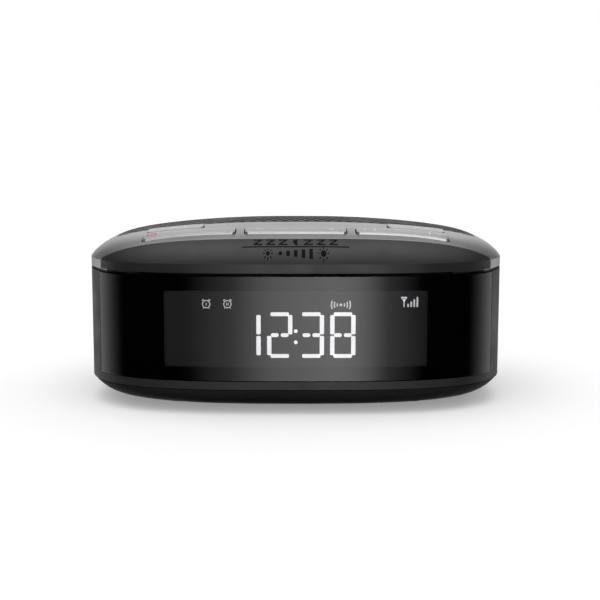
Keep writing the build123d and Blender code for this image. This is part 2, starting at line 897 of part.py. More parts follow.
with BuildPart() as speaker_spider:
    spin([
        (cone_neck, spider_z),
        (spider_outer, spider_z),
        (spider_outer, spider_z + cone_paper),
        (cone_neck, spider_z + cone_paper),
    ])
save(speaker_spider.part, "speaker_spider")

with BuildPart() as speaker_gasket:
    spin([
        (speaker_opening, speaker_flange_top),
        (speaker_opening + collar_thickness, speaker_flange_top),
        (speaker_opening + collar_thickness, collar_bottom),
        (speaker_opening, collar_bottom),
    ])
save(speaker_gasket.part, "speaker_gasket")

with BuildPart() as speaker_screws:
    for x, y in speaker_ears:
        screw(
            x, y, flange_bottom, speaker_flange_thickness + board_screw_depth,
            board_screw_radius, board_screw_head_radius, board_screw_head_height,
        )
save(speaker_screws.part, "speaker_screws")

# ---------------------------------------------------------------- chassis
with BuildPart() as chassis:
    prism(chassis_bottom, chassis_top, lambda: plan_outline(chassis_inset))
    prism(chassis_top, chassis_top + chassis_rib_height, front_rib)
    prism(chassis_bottom, chassis_top, lambda: circles([(0, speaker_y)], chassis_opening), Mode.SUBTRACT)
    with Locations(*[(x, y, post_bottom) for x, y in chassis_posts]):
        Cylinder(post_radius, chassis_bottom - post_bottom, align=BASE)
    with Locations(*[(x, y, post_bottom) for x, y in chassis_posts]):
        Cylinder(screw_radius, base_screw_length, align=BASE, mode=Mode.SUBTRACT)
    with Locations(*[(x, y, chassis_bottom) for x, y in deck_bosses]):
        Cylinder(screw_radius + screw_clearance, chassis_thickness, align=BASE, mode=Mode.SUBTRACT)
    prism(chassis_bottom, chassis_top, leg_slots, Mode.SUBTRACT)
save(chassis.part, "chassis")

with BuildPart() as deck_screws:
    for x, y in deck_bosses:
        screw(
            x, y, chassis_bottom - lug_height, deck_screw_length,
            screw_radius, screw_head_radius, screw_head_height,
        )
save(deck_screws.part, "deck_screws")

# ---------------------------------------------------------------- cabinet
display_half_x = active_width / 2 + glass_border + frame_gap + frame_wall
display_half_z = active_height / 2 + glass_border / 2 + frame_gap + frame_wall
glass_half_x = active_width / 2 + glass_border
glass_half_z = active_height / 2 + glass_border / 2
display_rear = glass_front + glass_thickness + guide_thickness
display_screws_at = [(x, z) for x in (-display_screw_x, display_screw_x)
                     for z in (display_z - display_screw_z, display_z + display_screw_z)]
display_screw_end = ear_front - display_screw_depth
socket_z = board_top + socket_height / 2


def backing_plan():
    """Draw the cabinet wall behind the window."""
    with BuildSketch(mode=Mode.PRIVATE) as plan:
        plan_outline(window_thickness + fit_gap)
        plan_outline(window_thickness + fit_gap + window_backing, Mode.SUBTRACT)
        ahead_of(window_end_y + backing_overlap, Mode.INTERSECT)
    add(plan.sketch)


def window_seat():
    """Draw the rebate that the window lies in."""
    with BuildSketch(mode=Mode.PRIVATE) as plan:
        plan_outline(-overcut)
        plan_outline(window_thickness + fit_gap, Mode.SUBTRACT)
        ahead_of(window_end_y + fit_gap, Mode.INTERSECT)
    add(plan.sketch)


def lug_plan():
    """Draw the lugs that carry the chassis, trimmed to stay inside the wall."""
    with BuildSketch(mode=Mode.PRIVATE) as plan:
        with Locations(*deck_bosses):
            Circle(lug_radius)
        plan_outline(shell / 2, Mode.INTERSECT)
    add(plan.sketch)


with BuildPart() as cabinet:
    prism(base_top, cabinet_top, lambda: outline_ring(0.0, shell))
    prism(base_top, chassis_bottom, backing_plan)
    prism(window_bottom, above, window_seat, Mode.SUBTRACT)
    prism(chassis_bottom - lug_height, chassis_bottom, lug_plan)
    with Locations(*[(x, y, chassis_bottom - lug_height) for x, y in deck_bosses]):
        Cylinder(screw_radius + screw_clearance, lug_height, align=BASE, mode=Mode.SUBTRACT)
    for x, z in display_screws_at:
        rod(x, z, display_post_radius, ear_front, ear_front - display_post)
    hole_x = display_half_x + aperture_gap
    hole_z = display_half_z + aperture_gap
    slab(
        (-hole_x, -half_y, display_z - hole_z),
        (hole_x, ear_front - display_post / 2, display_z + hole_z),
        Mode.SUBTRACT,
    )
    for x, z in display_screws_at:
        rod(x, z, board_screw_radius, ear_front, display_screw_end, Mode.SUBTRACT)
    rod(socket_x, socket_z, socket_nose_radius + fit_gap, half_y, half_y - rear_cut, Mode.SUBTRACT)
    rod(grommet_x, socket_z, grommet_flange + fit_gap, half_y, grommet_seat_y, Mode.SUBTRACT)
    rod(grommet_x, socket_z, grommet_neck + fit_gap, half_y, half_y - rear_cut, Mode.SUBTRACT)
    with Locations(Location((0, half_y, vent_z), (90, 0, 0))):
        with GridLocations(vent_pitch, 1, vent_count, 1):
            Box(vent_width, vent_height, 2 * rear_cut, mode=Mode.SUBTRACT)
save(cabinet.part, "cabinet")

# ---------------------------------------------------------------- front window
with BuildPart() as front_window:
    prism(window_bottom, cabinet_top, lambda: outline_ring(0.0, window_thickness))
    prism(window_bottom, cabinet_top, lambda: ahead_of(window_end_y), Mode.INTERSECT)
save(front_window.part, "front_window")

# ---------------------------------------------------------------- base cover
door_half_x = cell_length / 2 + contact_room + cell_gap
door_half_y = 2 * cell_radius + cell_gap + door_ledge
bay_half_y = 2 * cell_radius + cell_gap
bay_top = foot_height + door_thickness + 2 * cell_radius + 2 * cell_gap
hinge_y = bay_y + door_half_y
hinge_z = foot_height + door_thickness / 2
cell_z = foot_height + door_thickness + cell_gap / 2 + cell_radius
feet_at = mirrored_pairs((foot_x, foot_y), (foot_x, -foot_y))


def hull(inset, bottom, top):
    """Hull of the base between two heights, its walls moved in by inset."""
    with BuildPart() as block:
        with BuildSketch(Plane.XY.offset(bottom)):
            superellipse(base_floor_x - inset, base_floor_y - inset, base_floor_power)
        with BuildSketch(Plane.XY.offset(base_mid_z)):
            mid_x = half_x - base_mid_inset - inset
            mid_y = half_y - base_mid_inset_front - inset
            superellipse(mid_x, mid_y, base_mid_power)
        with BuildSketch(Plane.XY.offset(top)):
            plan_outline(parting + inset)
        loft()
    return block.part


def bay_plan(grow):
    """Draw the battery bay's plan, grown by grow."""
    with Locations((0, bay_y)):
        Rectangle(2 * (door_half_x - door_ledge + grow), 2 * (bay_half_y + grow))


with BuildPart() as base_cover:
    add(hull(0.0, foot_height, base_top - parting))
    add(hull(shell, base_floor_top, base_top), mode=Mode.SUBTRACT)
    prism(base_top - parting - shell, base_top + base_tongue_height, lambda: outline_ring(
        base_tongue_inset, base_tongue_inset + base_tongue))
    with Locations(*[(x, y, foot_height) for x, y in chassis_posts]):
        Cylinder(base_pad_radius, post_bottom - foot_height, align=BASE)
    prism(foot_height, bay_top + bay_wall, lambda: bay_plan(bay_wall))
    with Locations(*[(x, y, base_floor_top) for x, y in standoffs]):
        Cylinder(standoff_radius, board_bottom - base_floor_top, align=BASE)
    prism(foot_height, bay_top, lambda: bay_plan(0.0), Mode.SUBTRACT)
    door_rear = hinge_y + door_thickness / 2
    door_top = foot_height + door_thickness
    slab(
        (-door_half_x - door_gap, bay_y - door_half_y - door_gap, foot_height),
        (door_half_x + door_gap, door_rear + door_gap, door_top + door_gap),
        Mode.SUBTRACT,
    )
    for side in (-1, 1):
        pin_start = side * (door_half_x + door_gap)
        with Locations(Location((pin_start + side * door_pin_length / 2, hinge_y, hinge_z), (0, 90, 0))):
            Cylinder(door_pin_radius + pin_clearance, door_pin_length + pin_clearance, mode=Mode.SUBTRACT)
    with Locations(*[(x, y, foot_height) for x, y in chassis_posts]):
        head_room = screw_head_radius + screw_clearance
        Cylinder(head_room, screw_head_height + head_recess, align=BASE, mode=Mode.SUBTRACT)
        Cylinder(screw_radius + screw_clearance, post_bottom - foot_height, align=BASE, mode=Mode.SUBTRACT)
    with Locations(*[(x, y, board_bottom) for x, y in standoffs]):
        Cylinder(board_screw_radius, board_screw_depth + standoff_hole_spare, align=TOP, mode=Mode.SUBTRACT)
    with Locations(*[(x, y, foot_height) for x, y in feet_at]):
        Cylinder(foot_radius + fit_gap, foot_recess, align=BASE, mode=Mode.SUBTRACT)
save(base_cover.part, "base_cover")

with BuildPart() as rubber_feet:
    with Locations(*[(x, y, 0) for x, y in feet_at]):
        Cylinder(foot_radius, foot_height + foot_recess, align=BASE)
    lower_edges = rubber_feet.edges().group_by(Axis.Z)[0]
    chamfer(lower_edges, length=foot_chamfer)
save(rubber_feet.part, "rubber_feet")

with BuildPart() as base_screws:
    for x, y in chassis_posts:
        screw(
            x, y, foot_height + screw_head_height + head_recess,
            post_bottom + base_screw_length - foot_height - screw_head_height - head_recess,
            screw_radius, screw_head_radius, screw_head_height,
        )
save(base_screws.part, "base_screws")

with BuildPart() as battery_door:
    slab(
        (-door_half_x, bay_y - door_half_y, foot_height),
        (door_half_x, hinge_y, foot_height + door_thickness),
    )
    with Locations(Location((0, hinge_y, hinge_z), (0, 90, 0))):
        Cylinder(door_thickness / 2, 2 * door_half_x)
        Cylinder(door_pin_radius, 2 * (door_half_x + door_gap + door_pin_length - pin_clearance))
    slab(
        (-finger_half, bay_y - door_half_y, foot_height),
        (finger_half, bay_y - door_half_y + finger_deep, foot_height + door_thickness / 2),
        Mode.SUBTRACT,
    )
save(battery_door.part, "battery_door")

cells_at = [bay_y - cell_radius - cell_gap / 3, bay_y + cell_radius + cell_gap / 3]

with BuildPart() as backup_batteries:
    for index, y in enumerate(cells_at):
        turn = 1 if index == 0 else -1
        with Locations(Location((0, y, cell_z), (0, 90, 0))):
            Cylinder(cell_radius, cell_length)
        with Locations(Location((turn * (cell_length + cell_nub) / 2, y, cell_z), (0, 90, 0))):
            Cylinder(cell_nub_radius, cell_nub)
save(backup_batteries.part, "backup_batteries")

bay_end = door_half_x - door_ledge

with BuildPart() as battery_contacts:
    plate_half = battery_spring_radius + contact_border
    for y in cells_at:
        for end in (-1, 1):
            outer = end * bay_end
            inner = outer - end * contact_plate
            slab(
                (min(outer, inner), y - plate_half, cell_z - plate_half),
                (max(outer, inner), y + plate_half, cell_z + plate_half),
            )
save(battery_contacts.part, "battery_contacts")

with BuildPart() as battery_springs:
    room = bay_end - contact_plate - cell_length / 2
    coil_room = room - battery_spring_wire
    left_start = battery_spring_wire / 2 - cell_length / 2 - room
    right_start = battery_spring_wire / 2 + cell_length / 2
    for y, start_x in zip(cells_at, (left_start, right_start)):
        path = Helix(coil_room / battery_spring_turns, coil_room, battery_spring_radius)
        path = path.rotate(Axis.Y, 90)
        path = path.moved(Location((start_x, y, cell_z)))
        with BuildSketch(Plane(origin=path @ 0, z_dir=path % 0)) as section:
            Circle(battery_spring_wire / 2)
        sweep(section.sketch, path=path)
save(battery_springs.part, "battery_springs")

# ---------------------------------------------------------------- main board
def board_plan():
    """Draw the main board, its corners following the case."""
    with BuildSketch(mode=Mode.PRIVATE) as plan:
        with Locations((0, (board_front + board_rear) / 2)):
            Rectangle(2 * board_half_x, board_rear - board_front)
        plan_outline(board_inset, Mode.INTERSECT)
    add(plan.sketch)


with BuildPart() as main_board:
    prism(board_bottom, board_top, board_plan)
    with Locations(*[(x, y, board_bottom) for x, y in standoffs]):
        Cylinder(board_screw_radius, board_thickness, align=BASE, mode=Mode.SUBTRACT)
save(main_board.part, "main_board")

with BuildPart() as board_screws:
    for x, y in standoffs:
        screw(
            x, y, board_top, board_thickness + board_screw_depth,
            board_screw_radius, board_screw_head_radius, board_screw_head_height, up=False,
        )
save(board_screws.part, "board_screws")

with BuildPart() as tuner_shield:
    slab(
        (shield_x - shield_wide / 2, shield_y - shield_deep / 2, board_top),
        (shield_x + shield_wide / 2, shield_y + shield_deep / 2, board_top + shield_tall),
    )
    upright = tuner_shield.edges().filter_by(Axis.Z)
    fillet(upright, radius=shield_corner)
save(tuner_shield.part, "tuner_shield")

with BuildPart() as board_chips:
    for x, y, side in chips:
        with Locations((x, y, board_top)):
            Box(side, side, chip_height, align=BASE)
save(board_chips.part, "board_chips")

with BuildPart() as capacitors:
    for x, y in capacitors_at:
        with Locations((x, y, board_top)):
            Cylinder(capacitor_radius, capacitor_height, align=BASE)
    fillet(capacitors.edges().group_by(Axis.Z)[-1], radius=capacitor_round)
save(capacitors.part, "capacitors")

with BuildPart() as dc_socket:
    slab(
        (socket_x - socket_width / 2, socket_rear - socket_depth, board_top),
        (socket_x + socket_width / 2, socket_rear, board_top + socket_height),
    )
    rod(socket_x, socket_z, socket_nose_radius, socket_rear, socket_rear + socket_nose)
    rod(
        socket_x, socket_z, socket_bore,
        socket_rear + socket_nose, socket_rear + socket_nose - socket_bore_depth, Mode.SUBTRACT,
    )
    rod(
        socket_x, socket_z, socket_pin,
        socket_rear + socket_nose - socket_pin_sunk, socket_rear + socket_nose - socket_bore_depth,
    )
save(dc_socket.part, "dc_socket")

with BuildPart() as antenna_grommet:
    rod(grommet_x, socket_z, grommet_flange, grommet_seat_y, grommet_seat_y + grommet_flange_thickness)
    rod(grommet_x, socket_z, grommet_neck, grommet_seat_y, grommet_inner_y)
    rod(
        grommet_x, socket_z, grommet_flange - grommet_inner_step,
        grommet_inner_y, grommet_inner_y - grommet_flange_thickness,
    )
    rod(
        grommet_x, socket_z, wire_bore,
        grommet_seat_y + 2 * grommet_flange_thickness, grommet_inner_y - 2 * grommet_flange_thickness,
        Mode.SUBTRACT,
    )
save(antenna_grommet.part, "antenna_grommet")

# ---------------------------------------------------------------- display
with BuildPart() as display_frame:
    slab(
        (-display_half_x, glass_front - frame_lip, display_z - display_half_z),
        (display_half_x, display_rear, display_z + display_half_z),
    )
    slab(
        (-display_half_x - ear_reach, ear_front, display_z - display_half_z),
        (display_half_x + ear_reach, ear_front + ear_thickness, display_z + display_half_z),
    )
    slab(
        (-glass_half_x - frame_gap, glass_front, display_z - glass_half_z - frame_gap),
        (glass_half_x + frame_gap, display_rear, display_z + glass_half_z + frame_gap),
        Mode.SUBTRACT,
    )
    slab(
        (-active_width / 2, glass_front - frame_lip, display_z - active_height / 2),
        (active_width / 2, glass_front, display_z + active_height / 2),
        Mode.SUBTRACT,
    )
    for x, z in display_screws_at:
        rod(x, z, board_screw_radius, ear_front, ear_front + ear_thickness, Mode.SUBTRACT)
save(display_frame.part, "display_frame")

with BuildPart() as display_glass:
    slab(
        (-glass_half_x, glass_front, display_z - glass_half_z),
        (glass_half_x, glass_front + glass_thickness, display_z + glass_half_z),
    )
save(display_glass.part, "display_glass")

with BuildPart() as light_guide:
    slab(
        (-glass_half_x, glass_front + glass_thickness, display_z - glass_half_z),
        (glass_half_x, display_rear, display_z + glass_half_z),
    )
save(light_guide.part, "light_guide")

display_board_rear = display_rear + display_board_thickness

with BuildPart() as display_board:
    slab(
        (-display_half_x - ear_reach, display_rear, display_z - display_half_z),
        (display_half_x + ear_reach, display_board_rear, display_z + display_half_z),
    )
    for x, z in display_screws_at:
        rod(x, z, board_screw_radius, display_rear, display_board_rear, Mode.SUBTRACT)
save(display_board.part, "display_board")

with BuildPart() as display_screws:
    for x, z in display_screws_at:
        rod(x, z, board_screw_radius, display_board_rear, display_screw_end)
        rod(x, z, board_screw_head_radius, display_board_rear, display_board_rear + board_screw_head_height)
save(display_screws.part, "display_screws")

# ---------------------------------------------------------------- sockets and flat cables
display_link_y = display_board_rear + socket_block / 2
board_link_y = board_front + socket_block
key_link_y = speaker_y - chassis_opening + key_link_inset

with BuildPart() as ribbon_sockets:
    half_wide = display_ribbon_width / 2 + socket_block_end
    slab(
        (-half_wide, display_board_rear, display_link_z - socket_block / 2),
        (half_wide, display_board_rear + socket_block, display_link_z + socket_block / 2),
    )
    slab(
        (-half_wide, board_link_y - socket_block / 2, board_top),
        (half_wide, board_link_y + socket_block / 2, board_top + socket_block),
    )
    half_wide = key_ribbon_width / 2 + socket_block_end
    slab(
        (-half_wide, key_link_y - socket_block / 2, board_top),
        (half_wide, key_link_y + socket_block / 2, board_top + socket_block),
    )
save(ribbon_sockets.part, "ribbon_sockets")


def flat_cable(points, wide):
    """Flat cable in the current part, bent along points in the YZ plane."""
    with BuildSketch(Plane.YZ) as section:
        with BuildLine() as route:
            FilletPolyline(*points, radius=ribbon_bend)
        trace(route.edges(), ribbon_thickness)
    extrude(section.sketch, amount=wide / 2, both=True)


with BuildPart() as display_ribbon:
    flat_cable(
        [
            (display_link_y, display_link_z + socket_block / 2),
            (display_link_y, ribbon_top),
            (board_link_y, ribbon_top),
            (board_link_y, board_top + socket_block),
        ],
        display_ribbon_width,
    )
save(display_ribbon.part, "display_ribbon")

with BuildPart() as key_ribbon:
    flat_cable(
        [
            (key_board_rear - key_ribbon_lap, key_board_bottom - ribbon_thickness / 2),
            (key_link_y, key_board_bottom - ribbon_thickness / 2),
            (key_link_y, board_top + socket_block),
        ],
        key_ribbon_width,
    )
save(key_ribbon.part, "key_ribbon")
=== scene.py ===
import math

import bmesh
import bpy
from mathutils import Matrix, Vector
from mathutils.bvhtree import BVHTree


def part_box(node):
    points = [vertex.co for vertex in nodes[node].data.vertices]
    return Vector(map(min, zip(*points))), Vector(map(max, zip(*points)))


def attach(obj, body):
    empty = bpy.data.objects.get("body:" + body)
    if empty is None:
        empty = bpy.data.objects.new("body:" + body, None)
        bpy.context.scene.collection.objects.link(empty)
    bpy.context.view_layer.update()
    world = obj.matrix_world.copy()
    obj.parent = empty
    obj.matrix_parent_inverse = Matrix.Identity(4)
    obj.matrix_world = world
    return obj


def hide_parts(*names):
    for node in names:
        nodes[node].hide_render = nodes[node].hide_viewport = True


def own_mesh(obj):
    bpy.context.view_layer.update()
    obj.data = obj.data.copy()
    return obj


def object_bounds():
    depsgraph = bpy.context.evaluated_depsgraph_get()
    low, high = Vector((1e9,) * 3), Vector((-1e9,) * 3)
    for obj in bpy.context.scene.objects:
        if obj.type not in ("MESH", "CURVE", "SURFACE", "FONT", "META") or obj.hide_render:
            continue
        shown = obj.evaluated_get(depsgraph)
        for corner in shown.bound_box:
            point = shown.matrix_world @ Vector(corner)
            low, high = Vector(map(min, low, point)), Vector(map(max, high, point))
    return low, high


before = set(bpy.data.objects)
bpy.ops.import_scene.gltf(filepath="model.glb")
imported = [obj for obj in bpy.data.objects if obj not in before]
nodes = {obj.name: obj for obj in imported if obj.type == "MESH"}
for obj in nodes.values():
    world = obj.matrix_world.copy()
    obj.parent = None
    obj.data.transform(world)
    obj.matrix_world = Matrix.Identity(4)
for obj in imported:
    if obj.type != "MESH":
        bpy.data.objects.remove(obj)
cad_bounds = [[float(v) for v in corner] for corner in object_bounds()]
mm = 0.001

# ---------------------------------------------------------------- materials
cloud_scale = 55.0          # patches of uneven colour, per metre
smudge_scale = 90.0         # patches of uneven gloss, per metre
smoothest = 0.02            # least roughness of a surface
coat_rough = 0.12
ramp_ends = (0.3, 0.7)      # noise below and above these gives the plain low and high shades
wave_length = 0.314         # of a wave texture of scale 1, in metres


def link(tree, source, target):
    """Join an output to an input."""
    tree.links.new(source, target)


def object_coords(tree):
    """The object's own coordinates."""
    return tree.nodes.new("ShaderNodeTexCoord").outputs["Object"]


def noise(tree, scale, detail=2.0, stretch=None):
    """A noise texture in the object's own coordinates."""
    place = object_coords(tree)
    if stretch:
        mapping = tree.nodes.new("ShaderNodeMapping")
        mapping.inputs["Scale"].default_value = stretch
        link(tree, place, mapping.inputs["Vector"])
        place = mapping.outputs["Vector"]
    texture = tree.nodes.new("ShaderNodeTexNoise")
    texture.inputs["Scale"].default_value = scale
    texture.inputs["Detail"].default_value = detail
    link(tree, place, texture.inputs["Vector"])
    return texture.outputs["Fac"]


def ramp(tree, value, low, high):
    """Map a value to a colour or number between low and high."""
    node = tree.nodes.new("ShaderNodeValToRGB")
    for element, position, shade in zip(node.color_ramp.elements, ramp_ends, (low, high)):
        element.position = position
        shade = shade if hasattr(shade, "__len__") else (shade, shade, shade)
        element.color = (*shade, 1.0)
    link(tree, value, node.inputs["Fac"])
    return node.outputs["Color"]


def math_node(tree, operation, first, second=None):
    """One step of arithmetic on numbers or outputs."""
    node = tree.nodes.new("ShaderNodeMath")
    node.operation = operation
    for socket, value in zip(node.inputs, (first, second)):
        if value is None:
            continue
        if isinstance(value, (int, float)):
            socket.default_value = value
        else:
            link(tree, value, socket)
    return node.outputs[0]


def new_material(name):
    """An empty material, its node tree and its shader."""
    material = bpy.data.materials.new(name)
    material.use_nodes = True
    return material, material.node_tree, material.node_tree.nodes["Principled BSDF"]


def relief(tree, shader, height, depth):
    """Fine relief of a depth in millimetres."""
    bump = tree.nodes.new("ShaderNodeBump")
    bump.inputs["Strength"].default_value = 1.0
    bump.inputs["Distance"].default_value = depth * mm
    link(tree, height, bump.inputs["Height"])
    link(tree, bump.outputs["Normal"], shader.inputs["Normal"])
    return bump


def surface(name, colour, rough, metal=0.0, grain=0.3, depth=0.004, spread=0.12, rough_spread=0.08,
            coat=0.0, edge=0.25, stretch=None, level=0.5):
    """A moulded or painted surface with fine grain, uneven gloss and rounded edges.

    The grain's pitch, its depth and the rounding of the edges are in millimetres.
    """
    material, tree, shader = new_material(name)
    shader.inputs["Metallic"].default_value = metal
    shader.inputs["Specular IOR Level"].default_value = level
    if coat:
        shader.inputs["Coat Weight"].default_value = coat
        shader.inputs["Coat Roughness"].default_value = coat_rough
    dark = [c * (1 - spread) for c in colour]
    light = [min(1.0, c * (1 + spread)) for c in colour]
    cloudy = noise(tree, cloud_scale, 4.0)
    link(tree, ramp(tree, cloudy, dark, light), shader.inputs["Base Color"])
    smudge = noise(tree, smudge_scale, 3.0)
    gloss = ramp(tree, smudge, max(smoothest, rough - rough_spread), rough + rough_spread)
    link(tree, gloss, shader.inputs["Roughness"])
    fine = noise(tree, 1.0 / (grain * mm), 3.0, stretch)
    bump = relief(tree, shader, fine, depth)
    if edge:
        bevel = tree.nodes.new("ShaderNodeBevel")
        bevel.samples = 4
        bevel.inputs["Radius"].default_value = edge * mm
        link(tree, bevel.outputs["Normal"], bump.inputs["Normal"])
    return material


def glow(name, colour, strength):
    """A lit print or segment with a little unevenness."""
    material, tree, shader = new_material(name)
    shader.inputs["Roughness"].default_value = 0.4
    shader.inputs["Emission Strength"].default_value = strength
    uneven = noise(tree, 260.0, 2.0)
    shade = ramp(tree, uneven, [c * 0.9 for c in colour], colour)
    link(tree, shade, shader.inputs["Emission Color"])
    link(tree, shade, shader.inputs["Base Color"])
    return material


def smoked(name, tint, rough):
    """Dark see-through acrylic with a faint moulding ripple."""
    material, tree, shader = new_material(name)
    shader.inputs["Transmission Weight"].default_value = 1.0
    shader.inputs["IOR"].default_value = 1.49
    cloudy = noise(tree, 30.0, 2.0)
    link(tree, ramp(tree, cloudy, [c * 0.94 for c in tint], tint), shader.inputs["Base Color"])
    haze = noise(tree, 200.0, 3.0)
    link(tree, ramp(tree, haze, rough * 0.6, rough * 1.6), shader.inputs["Roughness"])
    ripple = noise(tree, 18.0, 1.0)
    relief(tree, shader, ripple, 0.001)
    return material


# case and controls
SILVER = surface("silver_paint", (0.42, 0.42, 0.43), 0.33, metal=0.85, grain=0.22, depth=0.0011, spread=0.04,
                 rough_spread=0.025)
KEY_SILVER = surface("key_paint", (0.50, 0.50, 0.51), 0.30, metal=0.8, grain=0.22, depth=0.001, spread=0.03,
                     rough_spread=0.02)
SNOOZE = surface("snooze_plastic", (0.017, 0.017, 0.018), 0.40, depth=0.006, level=0.45)
CASE = surface("case_plastic", (0.022, 0.022, 0.023), 0.42, depth=0.006, level=0.28)
BASE = surface("base_plastic", (0.020, 0.020, 0.0205), 0.52, grain=0.4, depth=0.010, level=0.3)
GRILLE = surface("grille_coat", (0.035, 0.035, 0.036), 0.50, grain=0.2, depth=0.004, level=0.3)
INNER = surface("inner_plastic", (0.006, 0.006, 0.006), 0.60, grain=0.4, depth=0.010, level=0.2)
RUBBER = surface("rubber", (0.018, 0.018, 0.018), 0.75, grain=0.2, depth=0.012)
STEEL = surface("plated_steel", (0.55, 0.55, 0.56), 0.30, metal=1.0, grain=0.2, depth=0.003)
SPRING = surface("spring_steel", (0.62, 0.62, 0.63), 0.22, metal=1.0, grain=0.2, depth=0.002)

# speaker
PAPER = surface("cone_paper", (0.045, 0.042, 0.038), 0.85, grain=0.4, depth=0.030, spread=0.3)
MAGNET = surface("ferrite", (0.045, 0.045, 0.048), 0.50, metal=0.4, depth=0.010)
COPPER = surface("copper_wire", (0.62, 0.27, 0.12), 0.28, metal=1.0, grain=0.1, depth=0.004,
                 stretch=(0.1, 0.1, 1.0))
CLOTH = surface("spider_cloth", (0.42, 0.27, 0.10), 0.85, depth=0.040, spread=0.3)
FOAM = surface("foam", (0.02, 0.02, 0.02), 0.95, grain=0.5, depth=0.060, spread=0.4)
GRILLE_CLOTH = surface("grille_cloth", (0.006, 0.006, 0.006), 0.95, spread=0.4, edge=0, level=0.1)

# boards and what they carry
BOARD = surface("board_green", (0.020, 0.105, 0.045), 0.35, grain=0.8, depth=0.010, spread=0.25, coat=0.4)
SILICONE = surface("silicone", (0.42, 0.42, 0.41), 0.55, depth=0.006)
TIN = surface("tin_shield", (0.60, 0.60, 0.59), 0.35, metal=1.0, grain=0.5, depth=0.004)
CHIP = surface("chip_epoxy", (0.016, 0.016, 0.017), 0.60, grain=0.2, depth=0.008)
SLEEVE = surface("capacitor_sleeve", (0.020, 0.026, 0.075), 0.30, grain=0.5, depth=0.003)
SOCKET = surface("socket_nylon", (0.014, 0.014, 0.014), 0.45, depth=0.006)
WHITE = surface("white_nylon", (0.62, 0.60, 0.54), 0.45, depth=0.006)
RIBBON = surface("ribbon_film", (0.55, 0.55, 0.52), 0.28, grain=1.0, depth=0.010, stretch=(1.0, 0.02, 0.02))
GUIDE = surface("light_guide", (0.55, 0.58, 0.57), 0.25, grain=1.0, depth=0.010)
CELL = surface("cell_sleeve", (0.10, 0.12, 0.15), 0.30, metal=0.6, grain=0.6, depth=0.003)

# window and display
WINDOW = smoked("smoked_acrylic", (0.11, 0.11, 0.113), 0.012)
MASK = surface("window_paint", (0.004, 0.004, 0.004), 0.5, edge=0, level=0.1)
LCD = glow("lcd_glass", (0.032, 0.032, 0.032), 2.6)
DIGIT_LIGHT = glow("digit_light", (1.0, 1.0, 1.0), 8.4)
ICON_LIGHT = glow("icon_light", (0.94, 0.97, 1.0), 4.8)

# prints
SNOOZE_MARK = surface("snooze_mark", (0.004, 0.004, 0.004), 0.55, grain=0.2, depth=0.001, edge=0, level=0.06)
WHITE_MARK = surface("white_mark", (0.80, 0.80, 0.79), 0.45, grain=0.2, depth=0.001, edge=0)
RED_MARK = surface("red_mark", (0.62, 0.05, 0.08), 0.45, grain=0.2, depth=0.001, edge=0)
LABEL = surface("label_film", (0.42, 0.42, 0.41), 0.38, grain=0.4, depth=0.002, spread=0.04, edge=0)
LABEL_INK = surface("label_ink", (0.02, 0.02, 0.02), 0.5, grain=0.2, depth=0.001, edge=0)


def base_colour_of(material):
    """The node tree of a surface, its shader and the colour that drives it."""
    tree = material.node_tree
    shader = tree.nodes["Principled BSDF"]
    return tree, shader, shader.inputs["Base Color"].links[0].from_socket


def stripes(tree, axis, low, high, inside, outside):
    """A colour between two places along an axis and another colour beyond them."""
    split = tree.nodes.new("ShaderNodeSeparateXYZ")
    link(tree, object_coords(tree), split.inputs["Vector"])
    above_low = math_node(tree, "GREATER_THAN", split.outputs[axis], low)
    below_high = math_node(tree, "LESS_THAN", split.outputs[axis], high)
    mix = tree.nodes.new("ShaderNodeMix")
    mix.data_type = "RGBA"
    link(tree, math_node(tree, "MULTIPLY", above_low, below_high), mix.inputs["Factor"])
    for socket, colour in (("A", outside), ("B", inside)):
        target = [item for item in mix.inputs if item.name == socket and item.type == "RGBA"][0]
        if hasattr(colour, "links"):
            link(tree, colour, target)
        else:
            target.default_value = (*colour, 1.0)
    return [item for item in mix.outputs if item.type == "RGBA"][0]


def lay_tracks(material):
    """Pale tracks under the lacquer of a circuit board."""
    tree, shader, plain = base_colour_of(material)
    tracks = tree.nodes.new("ShaderNodeTexBrick")
    tracks.inputs["Scale"].default_value = 260.0
    tracks.inputs["Mortar Size"].default_value = 0.012
    for socket, shade in (("Color1", 0.0), ("Color2", 0.12), ("Mortar", 1.0)):
        tracks.inputs[socket].default_value = (shade, shade, shade, 1.0)
    link(tree, object_coords(tree), tracks.inputs["Vector"])
    mix = tree.nodes.new("ShaderNodeMixRGB")
    mix.blend_type = "ADD"
    mix.inputs["Fac"].default_value = 0.10
    link(tree, plain, mix.inputs["Color1"])
    link(tree, tracks.outputs["Color"], mix.inputs["Color2"])
    link(tree, mix.outputs["Color"], shader.inputs["Base Color"])


def fit_plates(material, thick):
    """Steel plates above and below the speaker's ferrite ring."""
    tree, shader, plain = base_colour_of(material)
    low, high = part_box("speaker_magnet")
    ring = (low.z + thick, high.z - thick)
    link(tree, stripes(tree, "Z", *ring, plain, (0.50, 0.50, 0.51)), shader.inputs["Base Color"])
    link(tree, stripes(tree, "Z", *ring, (0.0, 0.0, 0.0), (0.9, 0.9, 0.9)), shader.inputs["Metallic"])


def bare_ends(material, reach):
    """Bare steel beyond the sleeves of the backup cells."""
    tree, shader, plain = base_colour_of(material)
    sleeve_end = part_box("backup_batteries")[1].x - reach
    steel_ends = stripes(tree, "X", -sleeve_end, sleeve_end, plain, (0.62, 0.62, 0.62))
    link(tree, steel_ends, shader.inputs["Base Color"])


